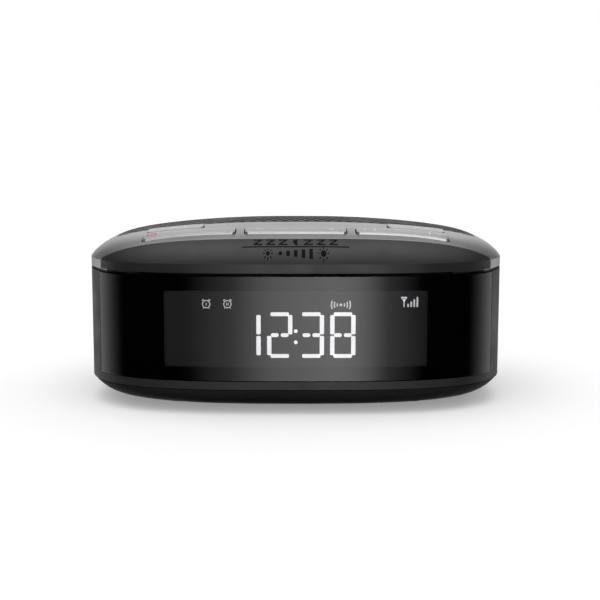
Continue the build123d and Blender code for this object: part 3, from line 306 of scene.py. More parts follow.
def weave(material, pitch, depth):
    """Threads that cross at right angles, in place of a surface's grain."""
    tree = material.node_tree
    place = object_coords(tree)
    threads = []
    for direction in ("X", "Y"):
        wave = tree.nodes.new("ShaderNodeTexWave")
        wave.bands_direction = direction
        wave.inputs["Scale"].default_value = wave_length / pitch
        wave.inputs["Distortion"].default_value = 0.4
        link(tree, place, wave.inputs["Vector"])
        threads.append(wave.outputs["Fac"])
    bump = [node for node in tree.nodes if node.type == "BUMP"][0]
    bump.inputs["Distance"].default_value = depth
    link(tree, math_node(tree, "MULTIPLY", *threads), bump.inputs["Height"])


lay_tracks(BOARD)
fit_plates(MAGNET, 2.0 * mm)
bare_ends(CELL, 2.2 * mm)
weave(CLOTH, 0.6 * mm, 0.05 * mm)
weave(GRILLE_CLOTH, 0.5 * mm, 0.04 * mm)

finish_of = {
    "top_deck": SILVER, "speaker_grille": GRILLE, "snooze_bar": SNOOZE, "snooze_springs": SPRING,
    "snooze_board": BOARD, "snooze_pad": SILICONE, "power_key": KEY_SILVER, "volume_key": KEY_SILVER,
    "tuning_key": KEY_SILVER, "first_alarm_key": KEY_SILVER, "second_alarm_key": KEY_SILVER,
    "key_board": BOARD, "key_mat": SILICONE, "key_board_screws": STEEL, "speaker_basket": STEEL,
    "speaker_magnet": MAGNET, "speaker_cone": PAPER, "voice_coil": COPPER, "dust_cap": PAPER,
    "cone_surround": RUBBER, "speaker_spider": CLOTH, "speaker_gasket": FOAM, "speaker_screws": STEEL,
    "chassis": INNER, "deck_screws": STEEL, "cabinet": CASE, "front_window": WINDOW, "base_cover": BASE,
    "rubber_feet": RUBBER, "base_screws": STEEL, "battery_door": BASE, "backup_batteries": CELL,
    "battery_contacts": SPRING, "battery_springs": SPRING, "main_board": BOARD, "board_screws": STEEL,
    "tuner_shield": TIN, "board_chips": CHIP, "capacitors": SLEEVE, "dc_socket": SOCKET,
    "antenna_grommet": RUBBER, "display_frame": INNER, "display_glass": LCD, "light_guide": GUIDE,
    "display_board": BOARD, "display_screws": STEEL, "ribbon_sockets": WHITE, "display_ribbon": RIBBON,
    "key_ribbon": RIBBON,
}
for name, obj in nodes.items():
    obj.data.materials.clear()
    obj.data.materials.append(finish_of[name])

# the snooze bar's springs and switch dome, which give way under it, get meshes of their own
for name in ("snooze_springs", "snooze_pad"):
    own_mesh(nodes[name])

# ---------------------------------------------------------------- making pieces
half_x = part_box("cabinet")[1].x
half_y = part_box("cabinet")[1].y
plan_power = 3.2            # the plan outline is a superellipse of this power
weld = 1e-7                 # points nearer than this are one point
hard_angle = math.radians(40.0)
round_steps = 48            # steps of a turned shape


def add_piece(name, maker, finish, body, replaces=(), sharp=35.0):
    """Turn a bmesh into a named piece that rides on a body."""
    bmesh.ops.remove_doubles(maker, verts=maker.verts, dist=weld)
    bmesh.ops.recalc_face_normals(maker, faces=maker.faces)
    if maker.calc_volume(signed=True) < 0:
        bmesh.ops.reverse_faces(maker, faces=maker.faces)
    mesh = bpy.data.meshes.new(name)
    maker.to_mesh(mesh)
    maker.free()
    for face in mesh.polygons:
        face.use_smooth = True
    mesh.set_sharp_from_angle(angle=math.radians(sharp))
    mesh.materials.append(finish)
    obj = bpy.data.objects.new(name, mesh)
    bpy.context.scene.collection.objects.link(obj)
    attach(obj, body)
    if replaces:
        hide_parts(*replaces)


def points_of(geometry):
    """The points among mixed geometry."""
    return [item for item in geometry if isinstance(item, bmesh.types.BMVert)]


def everything_in(maker):
    """All points, edges and faces."""
    return maker.verts[:] + maker.edges[:] + maker.faces[:]


def move(maker, offset):
    """Shift the whole shape."""
    bmesh.ops.translate(maker, verts=maker.verts, vec=offset)


def cut(maker, place, facing, clear_outer=False):
    """Cut along a plane, and drop what lies beyond it if asked."""
    bmesh.ops.bisect_plane(maker, geom=everything_in(maker), plane_co=place, plane_no=facing,
                           clear_outer=clear_outer)


def raise_faces(maker, offset):
    """Extrude flat faces into closed blocks."""
    grown = bmesh.ops.extrude_face_region(maker, geom=maker.faces[:])
    bmesh.ops.translate(maker, verts=points_of(grown["geom"]), vec=offset)


def soften(maker, width):
    """Round a shape's hard edges."""
    hard = [edge for edge in maker.edges if edge.is_manifold and edge.calc_face_angle() > hard_angle]
    bmesh.ops.bevel(maker, geom=hard, offset=width, segments=2, profile=0.5, affect="EDGES", material=-1)


def spin_outline(maker, outline, axis, closed=False):
    """Spin a line of points about an axis through the origin."""
    line = [maker.verts.new(point) for point in outline]
    ends = line[1:] + line[:1] if closed else line[1:]
    edges = [maker.edges.new(pair) for pair in zip(line, ends)]
    bmesh.ops.spin(maker, geom=line + edges, cent=(0, 0, 0), axis=axis, angle=math.tau, steps=round_steps,
                   use_merge=True)


def repeat_at(maker, places):
    """Copy a shape drawn at the origin to each place, and drop the first."""
    first = everything_in(maker)
    for place in places:
        made = bmesh.ops.duplicate(maker, geom=first)["geom"]
        bmesh.ops.translate(maker, verts=points_of(made), vec=place)
    bmesh.ops.delete(maker, geom=points_of(first), context="VERTS")


def middle_of(name):
    """The middle of a node's box: x, y and z."""
    low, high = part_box(name)
    return [(near_side + far_side) / 2 for near_side, far_side in zip(low, high)]


# ---------------------------------------------------------------- flat marks, drawn upright
pill_points = 20
slant = 38.0                # of bells, feet and aerial arms, in degrees


def pill(maker, x, z, wide, tall, corner=None, lean=0.0):
    """A flat bar with rounded corners, fully round at its ends unless a corner radius is given."""
    radius = corner or min(wide, tall) / 2
    made = bmesh.ops.create_circle(maker, cap_ends=True, segments=pill_points, radius=radius)
    half_step = Matrix.Rotation(math.pi / pill_points, 3, "Z")
    tilt = Matrix.Rotation(math.radians(lean), 3, "Z")
    for vert in made["verts"]:
        spot = half_step @ vert.co
        spot.x += math.copysign(wide / 2 - radius, spot.x)
        spot.y += math.copysign(tall / 2 - radius, spot.y)
        spot = tilt @ spot
        vert.co = Vector((x + spot.x, 0.0, z + spot.y))


def arc_band(maker, x, z, outer, inner, start=0.0, end=360.0, segments=28):
    """A flat ring or part of one, from one angle to another."""
    first = math.radians(start)
    corners = []
    for radius in (inner, outer):
        corners.append(maker.verts.new((x + radius * math.cos(first), 0.0, z + radius * math.sin(first))))
    edge = maker.edges.new(corners)
    bmesh.ops.spin(maker, geom=[edge] + corners, cent=(x, 0.0, z), axis=(0, -1, 0),
                   angle=math.radians(end - start), steps=segments, use_merge=end - start >= 360.0)


def lay_flat(maker):
    """Turn marks drawn upright so that they lie in plan."""
    for vert in maker.verts:
        vert.co = Vector((vert.co.x, vert.co.z, 0.0))


# ---------------------------------------------------------------- front window
window_low, window_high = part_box("front_window")
window_thick = 2.0 * mm
window_round = 0.25 * mm
rim_hold = 0.6 * mm         # a cut this far from a rim keeps the face flat beside the rim's rounding
end_hold = 0.8 * mm         # and this far from the rear ends
outline_steps = 720


def follow_outline(verts, inset):
    """Move the points of a unit circle onto the plan outline, set in by inset."""
    for vert in verts:
        x, y = vert.co.x, vert.co.y
        vert.co.x = math.copysign(abs(x) ** (2 / plan_power), x) * (half_x - inset)
        vert.co.y = math.copysign(abs(y) ** (2 / plan_power), y) * (half_y - inset)


def outline_wall(inset, low, high, rear):
    """A wall without thickness along the outline, set in by inset, round the front as far back as rear."""
    maker = bmesh.new()
    bmesh.ops.create_circle(maker, segments=outline_steps, radius=1.0)
    follow_outline(maker.verts, inset)
    move(maker, (0, 0, low))
    grown = bmesh.ops.extrude_edge_only(maker, edges=maker.edges[:])
    bmesh.ops.translate(maker, verts=points_of(grown["geom"]), vec=(0, 0, high - low))
    cut(maker, (0, rear, 0), (0, 1, 0), clear_outer=True)
    return maker


def thicken_inwards(maker, thick):
    """Face a wall outwards and give it thickness on its inner side."""
    bmesh.ops.recalc_face_normals(maker, faces=maker.faces)
    first = maker.faces[:][0]
    if first.normal.dot(first.calc_center_median()) < 0:
        bmesh.ops.reverse_faces(maker, faces=maker.faces)
    bmesh.ops.solidify(maker, geom=maker.faces[:], thickness=thick)


maker = outline_wall(0.0, window_low.z, window_high.z, window_high.y)
thicken_inwards(maker, window_thick)
soften(maker, window_round)
cut(maker, (0, 0, window_low.z + rim_hold), (0, 0, 1))
cut(maker, (0, 0, window_high.z - rim_hold), (0, 0, 1))
cut(maker, (0, window_high.y - end_hold, 0), (0, 1, 0))
add_piece("window_shell", maker, WINDOW, "radio_body", ["front_window"])

# black film moulded in under the window's face, open where the display shows
film_depth = 0.3 * mm
film_thick = 0.04 * mm
film_margin = 0.1 * mm
opening_half_x = 44.9 * mm
opening_low = 16.63 * mm
opening_high = 42.83 * mm
maker = outline_wall(film_depth, window_low.z + film_margin, window_high.z - film_margin,
                     window_high.y - film_margin)
for side in (1, -1):
    cut(maker, (side * opening_half_x, 0, 0), (1, 0, 0))
for height in (opening_low, opening_high):
    cut(maker, (0, 0, height), (0, 0, 1))
shown = []
for face in maker.faces:
    middle = face.calc_center_median()
    if abs(middle.x) < opening_half_x and opening_low < middle.z < opening_high:
        shown.append(face)
bmesh.ops.delete(maker, geom=shown, context="FACES")
thicken_inwards(maker, film_thick)
add_piece("window_paint", maker, MASK, "radio_body")

# ---------------------------------------------------------------- clock display
mark_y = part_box("display_glass")[0].y
mark_thick = 0.06 * mm


def plate(name, maker, finish):
    """Thicken flat marks that face the front and set them on the display glass."""
    bmesh.ops.remove_doubles(maker, verts=maker.verts, dist=weld)
    raise_faces(maker, (0, -mark_thick, 0))
    move(maker, (0, mark_y, 0))
    add_piece(name, maker, finish, "radio_body")


# seven bars of a digit: a top, b and c right, d foot, e and f left, g middle
bars_of = {"0": "abcdef", "1": "bc", "2": "abged", "3": "abgcd", "4": "fgbc", "5": "afgcd",
           "6": "afgcde", "7": "abc", "8": "abcdefg", "9": "abcdfg"}
time_shown = "1238"
digit_rights = (-12.10 * mm, -1.16 * mm, 9.78 * mm, 20.64 * mm)
digit_wide = 8.75 * mm
digit_foot = 18.45 * mm
digit_top = 34.41 * mm
digit_middle = (digit_foot + digit_top) / 2
upright_stroke = 1.5 * mm
upright_tall = 6.75 * mm
upright_gap = 0.28 * mm     # from the digit's middle to an upright's end
level_stroke = 1.34 * mm
level_wide = 6.35 * mm
half_bar_wide = 2.714 * mm  # the middle bar is two halves
half_bar_reach = 1.7145 * mm
bar_corner = 0.42 * mm


def clock_digit(name, figure, right):
    """One digit of seven bars, up to its right edge."""
    maker = bmesh.new()
    left = right - digit_wide
    middle_x = (left + right) / 2
    upright_reach = upright_tall / 2 + upright_gap
    for bar in bars_of[figure]:
        if bar == "a":
            pill(maker, middle_x, digit_top - level_stroke / 2, level_wide, level_stroke, bar_corner)
        elif bar == "d":
            pill(maker, middle_x, digit_foot + level_stroke / 2, level_wide, level_stroke, bar_corner)
        elif bar == "g":
            for side in (-1, 1):
                pill(maker, middle_x + side * half_bar_reach, digit_middle, half_bar_wide, level_stroke)
        else:
            x = right - upright_stroke / 2 if bar in "bc" else left + upright_stroke / 2
            z = digit_middle + upright_reach if bar in "bf" else digit_middle - upright_reach
            pill(maker, x, z, upright_stroke, upright_tall, bar_corner)
    plate(name, maker, DIGIT_LIGHT)


for place, (figure, right) in enumerate(zip(time_shown, digit_rights), 1):
    clock_digit("clock_digit_" + str(place), figure, right)

colon_dot = 1.3 * mm
colon_reach = 1.95 * mm
colon_middle = digit_middle - 0.57 * mm
maker = bmesh.new()
for side in (-1, 1):
    pill(maker, 0.0, colon_middle + side * colon_reach, colon_dot, colon_dot)
plate("clock_colon", maker, DIGIT_LIGHT)

# alarm signs: a round clock with two bells, two feet and one or two strokes
alarm_z = 37.25 * mm
alarm_outer = 1.42 * mm
alarm_inner = 1.12 * mm
bell_reach = 1.12 * mm
bell_size = (0.8 * mm, 0.4 * mm)
stand_reach = 0.95 * mm
stand_size = (0.28 * mm, 0.4 * mm)
stroke_size = (0.27 * mm, 0.95 * mm)
stroke_pitch = 0.5 * mm
for strokes, x in ((1, -30.8 * mm), (2, -23.5 * mm)):
    maker = bmesh.new()
    arc_band(maker, x, alarm_z, alarm_outer, alarm_inner)
    for side in (-1, 1):
        pill(maker, x + side * bell_reach, alarm_z + alarm_outer, *bell_size, lean=-side * slant)
        pill(maker, x + side * stand_reach, alarm_z - alarm_outer, *stand_size, lean=side * slant)
    for step in range(strokes):
        pill(maker, x + (step - (strokes - 1) / 2) * stroke_pitch, alarm_z, *stroke_size)
    plate("alarm_icon_" + str(strokes), maker, ICON_LIGHT)

# signal sign: an aerial and four growing bars
signal_foot = 36.2 * mm
mast_x = 37.2 * mm
mast_wide = 0.4 * mm
mast_tall = 3.4 * mm
arm_size = (0.32 * mm, 1.5 * mm)
first_bar_x = 38.6 * mm
signal_pitch = 1.05 * mm
signal_wide = 0.6 * mm
maker = bmesh.new()
for step in range(4):
    tall = (1.2 + 0.8 * step) * mm
    pill(maker, first_bar_x + step * signal_pitch, signal_foot + tall / 2, signal_wide, tall)
pill(maker, mast_x, signal_foot + mast_tall / 2, mast_wide, mast_tall)
pill(maker, mast_x, signal_foot + mast_tall, 2.1 * mm, 0.35 * mm)
for side in (-1, 1):
    pill(maker, mast_x + side * 0.5 * mm, signal_foot + 2.75 * mm, *arm_size, lean=-side * slant)
plate("signal_icon", maker, ICON_LIGHT)

# wave sign: a dot between three pairs of arcs
wave_x = 15.55 * mm
wave_z = 37.0 * mm
wave_dot = 1.0 * mm
wave_stroke = 0.48 * mm
wave_half_angle = 26
maker = bmesh.new()
pill(maker, wave_x, wave_z, wave_dot, wave_dot)
for radius in (1.5 * mm, 2.5 * mm, 3.5 * mm):
    for facing in (0.0, 180.0):
        arc_band(maker, wave_x, wave_z, radius, radius - wave_stroke, facing - wave_half_angle,
                 facing + wave_half_angle, 10)
plate("wave_icon", maker, ICON_LIGHT)

# ---------------------------------------------------------------- prints on curved surfaces
print_lift = 0.03 * mm
strip_x = 1.5 * mm          # marks on the top are cut into strips that can bend with it
strip_y = 0.4 * mm
far_away = 0.2              # rays start this far out, in metres


def lay_over(maker, carrier, axis):
    """Give flat marks a thickness and drop them along an axis onto a node's surface."""
    mesh = nodes[carrier].data
    faces = [tuple(face.vertices) for face in mesh.polygons]
    tree = BVHTree.FromPolygons([vert.co.copy() for vert in mesh.vertices], faces)
    out = Vector([float(index == axis) for index in range(3)])
    raise_faces(maker, out * print_lift)
    for vert in maker.verts:
        lift = print_lift if vert.co[axis] > print_lift / 2 else -print_lift
        start = vert.co.copy()
        start[axis] = far_away
        hit = tree.ray_cast(start, -out)[0]
        vert.co[axis] = hit[axis] + lift


def print_on(name, maker, finish, body, carrier):
    """Print marks drawn upright onto a curved top."""
    lay_flat(maker)
    bmesh.ops.remove_doubles(maker, verts=maker.verts, dist=weld)
    for axis, step in ((0, strip_x), (1, strip_y)):
        facing = Vector((1 - axis, axis, 0))
        low = min(vert.co[axis] for vert in maker.verts)
        high = max(vert.co[axis] for vert in maker.verts)
        for count in range(1, math.ceil((high - low) / step)):
            cut(maker, facing * (low + count * step), facing)
    bmesh.ops.triangulate(maker, faces=[face for face in maker.faces if len(face.verts) > 4])
    lay_over(maker, carrier, 2)
    add_piece(name, maker, finish, body, sharp=60.0)


# snooze bar, rear to front: a crescent between two rows of Z, a thin line, growing bars between two suns
moon_y = -42.95 * mm
moon_radius = 1.85 * mm
moon_shift = 0.9 * mm
moon_hollow = -0.2          # its right half is folded back to this share of the radius
z_pitch = 4.3 * mm
z_wide = 3.1 * mm
z_half_tall = 1.3 * mm
z_stroke = 0.75 * mm
z_slope = 2.35 * mm         # length of its sloping stroke
z_lean = -48.0
square_corner = 0.1 * mm
line_y = -45.35 * mm
line_wide = 36.3 * mm
line_stroke = 0.5 * mm
maker = bmesh.new()
pill(maker, 0.0, line_y, line_wide, line_stroke, square_corner)
moon = bmesh.ops.create_circle(maker, cap_ends=True, segments=round_steps, radius=moon_radius)
for vert in moon["verts"]:
    across = vert.co.x * moon_hollow if vert.co.x > 0 else vert.co.x
    vert.co = Vector((across + moon_shift, 0.0, moon_y + vert.co.y))
for step in (-3, -2, -1, 1, 2, 3):
    for side in (-1, 1):
        pill(maker, step * z_pitch, moon_y + side * z_half_tall, z_wide, z_stroke, square_corner)
    pill(maker, step * z_pitch, moon_y, z_stroke, z_slope, square_corner, lean=z_lean)

scale_y = -47.6 * mm
scale_pitch = 2.6 * mm
scale_wide = 1.2 * mm
scale_corner = 0.12 * mm
sun_reach = 9.4 * mm
ray_gap = 0.72 * mm         # from a sun's rim to the middle of its rays
ray_size = (0.32 * mm, 0.7 * mm)
for x, radius in ((-sun_reach, 0.62 * mm), (sun_reach, 0.92 * mm)):
    pill(maker, x, scale_y, 2 * radius, 2 * radius)
    reach = radius + ray_gap
    for turn in range(0, 360, 45):
        ray_x = x + reach * math.cos(math.radians(turn))
        ray_y = scale_y + reach * math.sin(math.radians(turn))
        pill(maker, ray_x, ray_y, *ray_size, lean=turn - 90.0)
for step in range(5):
    pill(maker, (step - 2) * scale_pitch, scale_y, scale_wide, (1.0 + 0.45 * step) * mm, scale_corner)
print_on("snooze_marks", maker, SNOOZE_MARK, "snooze", "snooze_bar")

# ---------------------------------------------------------------- signs on the keys
sign_stroke = 0.45 * mm
sign_tall = 2.2 * mm


def power_sign(maker, x, y):
    """An open ring with a stroke in its gap, at the left end."""
    x -= 13.2 * mm
    gap_end, gap_start = 122, 418
    arc_band(maker, x, y - 0.2 * mm, 1.75 * mm, 1.2 * mm, gap_end, gap_start, 24)
    pill(maker, x, y + 1.2 * mm, 0.55 * mm, 1.9 * mm)


def volume_signs(maker, x, y):
    """A minus at the left end and a plus at the right."""
    reach = 12.5 * mm
    arm = 2.4 * mm
    for side in (-1, 1):
        pill(maker, x + side * reach, y, arm, sign_stroke)
    pill(maker, x + reach, y, sign_stroke, arm)


def tuning_signs(maker, x, y):
    """An arrowhead at each end that points inwards, with a stroke beside it."""
    head_reach = 12.2 * mm
    head_long = 1.2 * mm
    head_half_angle = 25
    stroke_reach = 9.6 * mm
    for side in (-1, 1):
        facing = side * 90 - 90
        arc_band(maker, x + side * head_reach, y, head_long, 0.0, facing - head_half_angle,
                 facing + head_half_angle, 6)
        pill(maker, x + side * stroke_reach, y, sign_stroke, sign_tall)


def alarm_sign(maker, x, y, strokes):
    """A round clock with two bells, and one or two strokes beside it."""
    face_radius = 1.2 * mm
    stroke_reach = 3.4 * mm
    strokes_apart = 1.1 * mm
    arc_band(maker, x, y, face_radius, 0.8 * mm)
    for side in (-1, 1):
        pill(maker, x + side * face_radius, y + 1.25 * mm, 0.7 * mm, 0.4 * mm)
    for step in range(strokes):
        pill(maker, x + stroke_reach + step * strokes_apart, y, sign_stroke, sign_tall)


key_signs = [
    # key, its body, its sign and the sign's strokes, its ink
    ("power_key", "power_rocker", power_sign, (), RED_MARK),
    ("volume_key", "volume_rocker", volume_signs, (), WHITE_MARK),
    ("tuning_key", "tuning_rocker", tuning_signs, (), WHITE_MARK),
    ("first_alarm_key", "first_alarm", alarm_sign, (1,), WHITE_MARK),
    ("second_alarm_key", "second_alarm", alarm_sign, (2,), WHITE_MARK),
]
for key, body, sign, strokes, ink in key_signs:
    maker = bmesh.new()
    key_x, key_y, _ = middle_of(key)
    sign(maker, key_x, key_y, *strokes)
    print_on(key + "_marks", maker, ink, body, key)

# ---------------------------------------------------------------- grille cloth
crown_drop = 6.9 * mm
shoulder_drop = 5.9 * mm
shoulder_power = 14.0
crown_flat = 0.1            # the crown is flat inside this share of the outline
crown_top = cad_bounds[1][2] + crown_drop * crown_flat ** 2


def crown(x, y, inset):
    """Height of the crowned top, set in by inset."""
    across = (abs(x) / (half_x - inset)) ** plan_power
    along = (abs(y) / (half_y - inset)) ** plan_power
    share = (across + along) ** (1 / plan_power)
    return crown_top - inset - crown_drop * share ** 2 - shoulder_drop * share ** shoulder_power


cloth_margin = 0.9 * mm
cloth_inset = 1.13 * mm
cloth_thick = 0.03 * mm
grille_low, grille_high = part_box("speaker_grille")
cloth_half_x = grille_high.x - cloth_margin
cloth_front = grille_low.y + cloth_margin
cloth_back = grille_high.y - cloth_margin
maker = bmesh.new()
bmesh.ops.create_grid(maker, x_segments=76, y_segments=40, size=1.0)
for vert in maker.verts:
    y = cloth_front + (cloth_back - cloth_front) * (vert.co.y + 1) / 2
    narrowing = (1 - (abs(y) / grille_high.y) ** plan_power) ** (1 / plan_power)
    x = vert.co.x * narrowing * cloth_half_x
    vert.co = Vector((x, y, crown(x, y, cloth_inset)))
bmesh.ops.recalc_face_normals(maker, faces=maker.faces)
bmesh.ops.solidify(maker, geom=maker.faces[:], thickness=cloth_thick)
add_piece("grille_cloth", maker, GRILLE_CLOTH, "radio_body")

# ---------------------------------------------------------------- underside
base_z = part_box("base_cover")[0].z
trim_round = 0.08 * mm


def corners_of(name, reach, z):
    """Places of four round parts that stand in the corners of a node's box."""
    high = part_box(name)[1]
    return [(side * (high.x - reach), end * (high.y - reach), z) for side in (-1, 1) for end in (-1, 1)]


# cross recess of the base screws
head_radius = 2.55 * mm
head_edge = 2.6 * mm        # from a screw's middle to the edge of the screws' box
head_skin = 0.24 * mm
arm_reach = 1.5 * mm
arm_half = 0.34 * mm
maker = bmesh.new()
bmesh.ops.create_circle(maker, cap_ends=True, segments=round_steps, radius=head_radius)
for facing in (Vector((1, 0, 0)), Vector((0, 1, 0))):
    for reach in (-arm_reach, -arm_half, arm_half, arm_reach):
        cut(maker, facing * reach, facing)
recess = []
for face in maker.faces:
    middle = face.calc_center_median()
    across, along = sorted((abs(middle.x), abs(middle.y)))
    if across < arm_half and along < arm_reach:
        recess.append(face)
bmesh.ops.delete(maker, geom=recess, context="FACES")
raise_faces(maker, (0, 0, -head_skin))
soften(maker, trim_round)
repeat_at(maker, corners_of("base_screws", head_edge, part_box("base_screws")[0].z))
add_piece("screw_recesses", maker, STEEL, "radio_body")

# feet with round grooves in their treads
foot_radius = 4.5 * mm
foot_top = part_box("rubber_feet")[1].z
foot_chamfer = 0.5 * mm
rim_inner = 3.3 * mm
groove_deep = 0.25 * mm
tread = [(0.0, groove_deep)]
for inner, outer in ((0.9 * mm, 1.5 * mm), (2.1 * mm, 2.7 * mm)):
    tread += [(inner, groove_deep), (inner, 0.0), (outer, 0.0), (outer, groove_deep)]
tread += [(rim_inner, groove_deep), (rim_inner, 0.0), (foot_radius - foot_chamfer, 0.0)]
tread += [(foot_radius, foot_chamfer), (foot_radius, foot_top), (0.0, foot_top)]
maker = bmesh.new()
spin_outline(maker, [(reach, 0.0, rise) for reach, rise in tread], (0, 0, 1))
bmesh.ops.remove_doubles(maker, verts=maker.verts, dist=weld)
repeat_at(maker, corners_of("rubber_feet", foot_radius, 0.0))
add_piece("treaded_feet", maker, RUBBER, "radio_body", ["rubber_feet"])

# battery door: ridges for the thumb, shorter towards the door's middle, and an arrow
door_x = middle_of("battery_door")[0]
door_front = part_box("battery_door")[0].y
ridge_rise = 0.25 * mm
arrow_y = door_front + 10.6 * mm
arrow_radius = 1.5 * mm
maker = bmesh.new()
for step in range(4):
    ridge_y = door_front + (3.2 + 1.3 * step) * mm
    ridge_wide = (11.0 - 1.6 * step) * mm
    pill(maker, door_x, ridge_y, ridge_wide, 0.6 * mm)
lay_flat(maker)
arrow = bmesh.ops.create_circle(maker, cap_ends=True, segments=3, radius=arrow_radius)
bmesh.ops.rotate(maker, verts=arrow["verts"], cent=(0, 0, 0), matrix=Matrix.Rotation(math.pi, 3, "Z"))
bmesh.ops.translate(maker, verts=arrow["verts"], vec=(door_x, arrow_y, 0))
move(maker, (0, 0, base_z))
raise_faces(maker, (0, 0, -ridge_rise))
soften(maker, trim_round)
add_piece("door_ridges", maker, BASE, "door")

# rating label
label_y = 23.5 * mm
label_wide = 44.0 * mm
label_deep = 15.0 * mm
label_thick = 0.08 * mm
maker = bmesh.new()
pill(maker, 0.0, label_y, label_wide, label_deep, 1.2 * mm)
lay_flat(maker)
move(maker, (0, 0, base_z))
raise_faces(maker, (0, 0, -label_thick))
add_piece("rating_label", maker, LABEL, "radio_body")

# plain bars where its small print would be, and the double square of a protected appliance
ink_thick = 0.02 * mm
bar_left = -19.5 * mm
first_bar_y = label_y + 5.0 * mm
bar_pitch = 2.4 * mm
square_x = 14.5 * mm
square_line = 0.4 * mm
maker = bmesh.new()
for row, wide in enumerate((24.0 * mm, 19.0 * mm, 27.0 * mm, 15.0 * mm, 22.0 * mm)):
    pill(maker, bar_left + wide / 2, first_bar_y - row * bar_pitch, wide, 0.75 * mm)
for size in (5.6 * mm, 3.2 * mm):
    for side in (-1, 1):
        pill(maker, square_x, label_y + side * size / 2, size - 0.5 * mm, square_line, 0.05 * mm)
        pill(maker, square_x + side * size / 2, label_y, square_line, size + 0.4 * mm, 0.05 * mm)
lay_flat(maker)
move(maker, (0, 0, base_z - label_thick))
raise_faces(maker, (0, 0, -ink_thick))
add_piece("label_print", maker, LABEL_INK, "radio_body")

# ---------------------------------------------------------------- back
inlet_depth = 9.0 * mm
inlet_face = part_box("dc_socket")[1].y
inlet_inner = inlet_face - inlet_depth
gland_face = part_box("antenna_grommet")[1].y


def turned_piece(name, outline, node, finish):
    """Spin an outline of radius and depth pairs about a node's middle line, which runs front to back."""
    maker = bmesh.new()
    spin_outline(maker, [(reach, depth, 0.0) for reach, depth in outline], (0, 1, 0), closed=True)
    x, _, z = middle_of(node)
    move(maker, (x, 0, z))
    add_piece(name, maker, finish, "radio_body")


turned_piece("inlet_sleeve", [
    (3.12 * mm, inlet_inner),
    (3.12 * mm, inlet_face - 0.3 * mm),
    (2.85 * mm, inlet_face - 0.6 * mm),
    (2.85 * mm, inlet_inner),
], "dc_socket", STEEL)
turned_piece("inlet_pin", [
    (0.9 * mm, inlet_inner),
    (1.05 * mm, inlet_inner),
    (1.05 * mm, inlet_face - 1.4 * mm),
    (0.75 * mm, inlet_face - 0.95 * mm),
    (0.3 * mm, inlet_face - 0.95 * mm),
], "dc_socket", SPRING)
turned_piece("grommet_rib", [
    (2.1 * mm, gland_face - 0.2 * mm),
    (2.3 * mm, gland_face + 0.25 * mm),
    (2.8 * mm, gland_face + 0.25 * mm),
    (3.1 * mm, gland_face - 0.2 * mm),
], "antenna_grommet", RUBBER)

# polarity sign under the inlet and aerial sign under the gland
sign_drop = 2.6 * mm


def polarity_sign(maker, x, z):
    """A dot in an open ring between a minus and a plus in rings; from behind, the plus is at the right."""
    pole_reach = 3.3 * mm
    line = 0.22 * mm
    wire = 0.24 * mm
    arc_band(maker, x, z, 0.95 * mm, 0.68 * mm, 35, 325, 20)
    pill(maker, x, z, 0.7 * mm, 0.7 * mm)
    for side in (-1, 1):
        arc_band(maker, x + side * pole_reach, z, 1.0 * mm, 0.75 * mm)
        pill(maker, x + side * pole_reach, z, 0.9 * mm, line)
        pill(maker, x - pole_reach, z + side * 0.31 * mm, line, 0.3 * mm)
    pill(maker, x - 1.62 * mm, z, 1.0 * mm, wire)
    pill(maker, x + 1.35 * mm, z, 1.5 * mm, wire)


def aerial_sign(maker, x, z):
    """A mast with two arms."""
    line = 0.3 * mm
    pill(maker, x, z, line, 3.4 * mm)
    for side in (-1, 1):
        pill(maker, x + side * 0.85 * mm, z + 0.95 * mm, line, 1.8 * mm, lean=-side * slant)


maker = bmesh.new()
for node, sign in (("dc_socket", polarity_sign), ("antenna_grommet", aerial_sign)):
    sign(maker, middle_of(node)[0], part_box(node)[0].z - sign_drop)
lay_over(maker, "cabinet", 1)
add_piece("back_signs", maker, WHITE_MARK, "radio_body", sharp=60.0)


# ---------------------------------------------------------------- floor
def stage_object(name, maker, finish):
    """Turn a bmesh into an object that stands round the radio."""
    mesh = bpy.data.meshes.new(name)
    maker.to_mesh(mesh)
    maker.free()
    mesh.materials.append(finish)
    obj = bpy.data.objects.new(name, mesh)
    bpy.context.scene.collection.objects.link(obj)
    return obj


def floor_paper():
    """Pale paper that the camera sees a little lighter than it is lit."""
    material, tree, shader = new_material("floor_paper")
    shader.inputs["Roughness"].default_value = 0.9
    shader.inputs["Specular IOR Level"].default_value = 0.0
    shader.inputs["Emission Color"].default_value = (1.0, 1.0, 1.0, 1.0)
    link(tree, ramp(tree, noise(tree, 4.0), 0.77, 0.79), shader.inputs["Base Color"])
    path = tree.nodes.new("ShaderNodeLightPath")
    lighter = math_node(tree, "MULTIPLY", path.outputs["Is Camera Ray"], 0.27)
    link(tree, lighter, shader.inputs["Emission Strength"])
    return material


maker = bmesh.new()
bmesh.ops.create_circle(maker, cap_ends=True, segments=64, radius=6.0)
floor = stage_object("floor", maker, floor_paper())
floor.visible_glossy = False

# ---------------------------------------------------------------- cards that only reflections see
lamp_turn = 4.0             # the lamp stands this many degrees towards +X from straight in front
whole = (-60, -59)          # inner edges of a card without a gap in its middle
low_start = (-40, -20)      # lower edges of a card that starts under the horizon
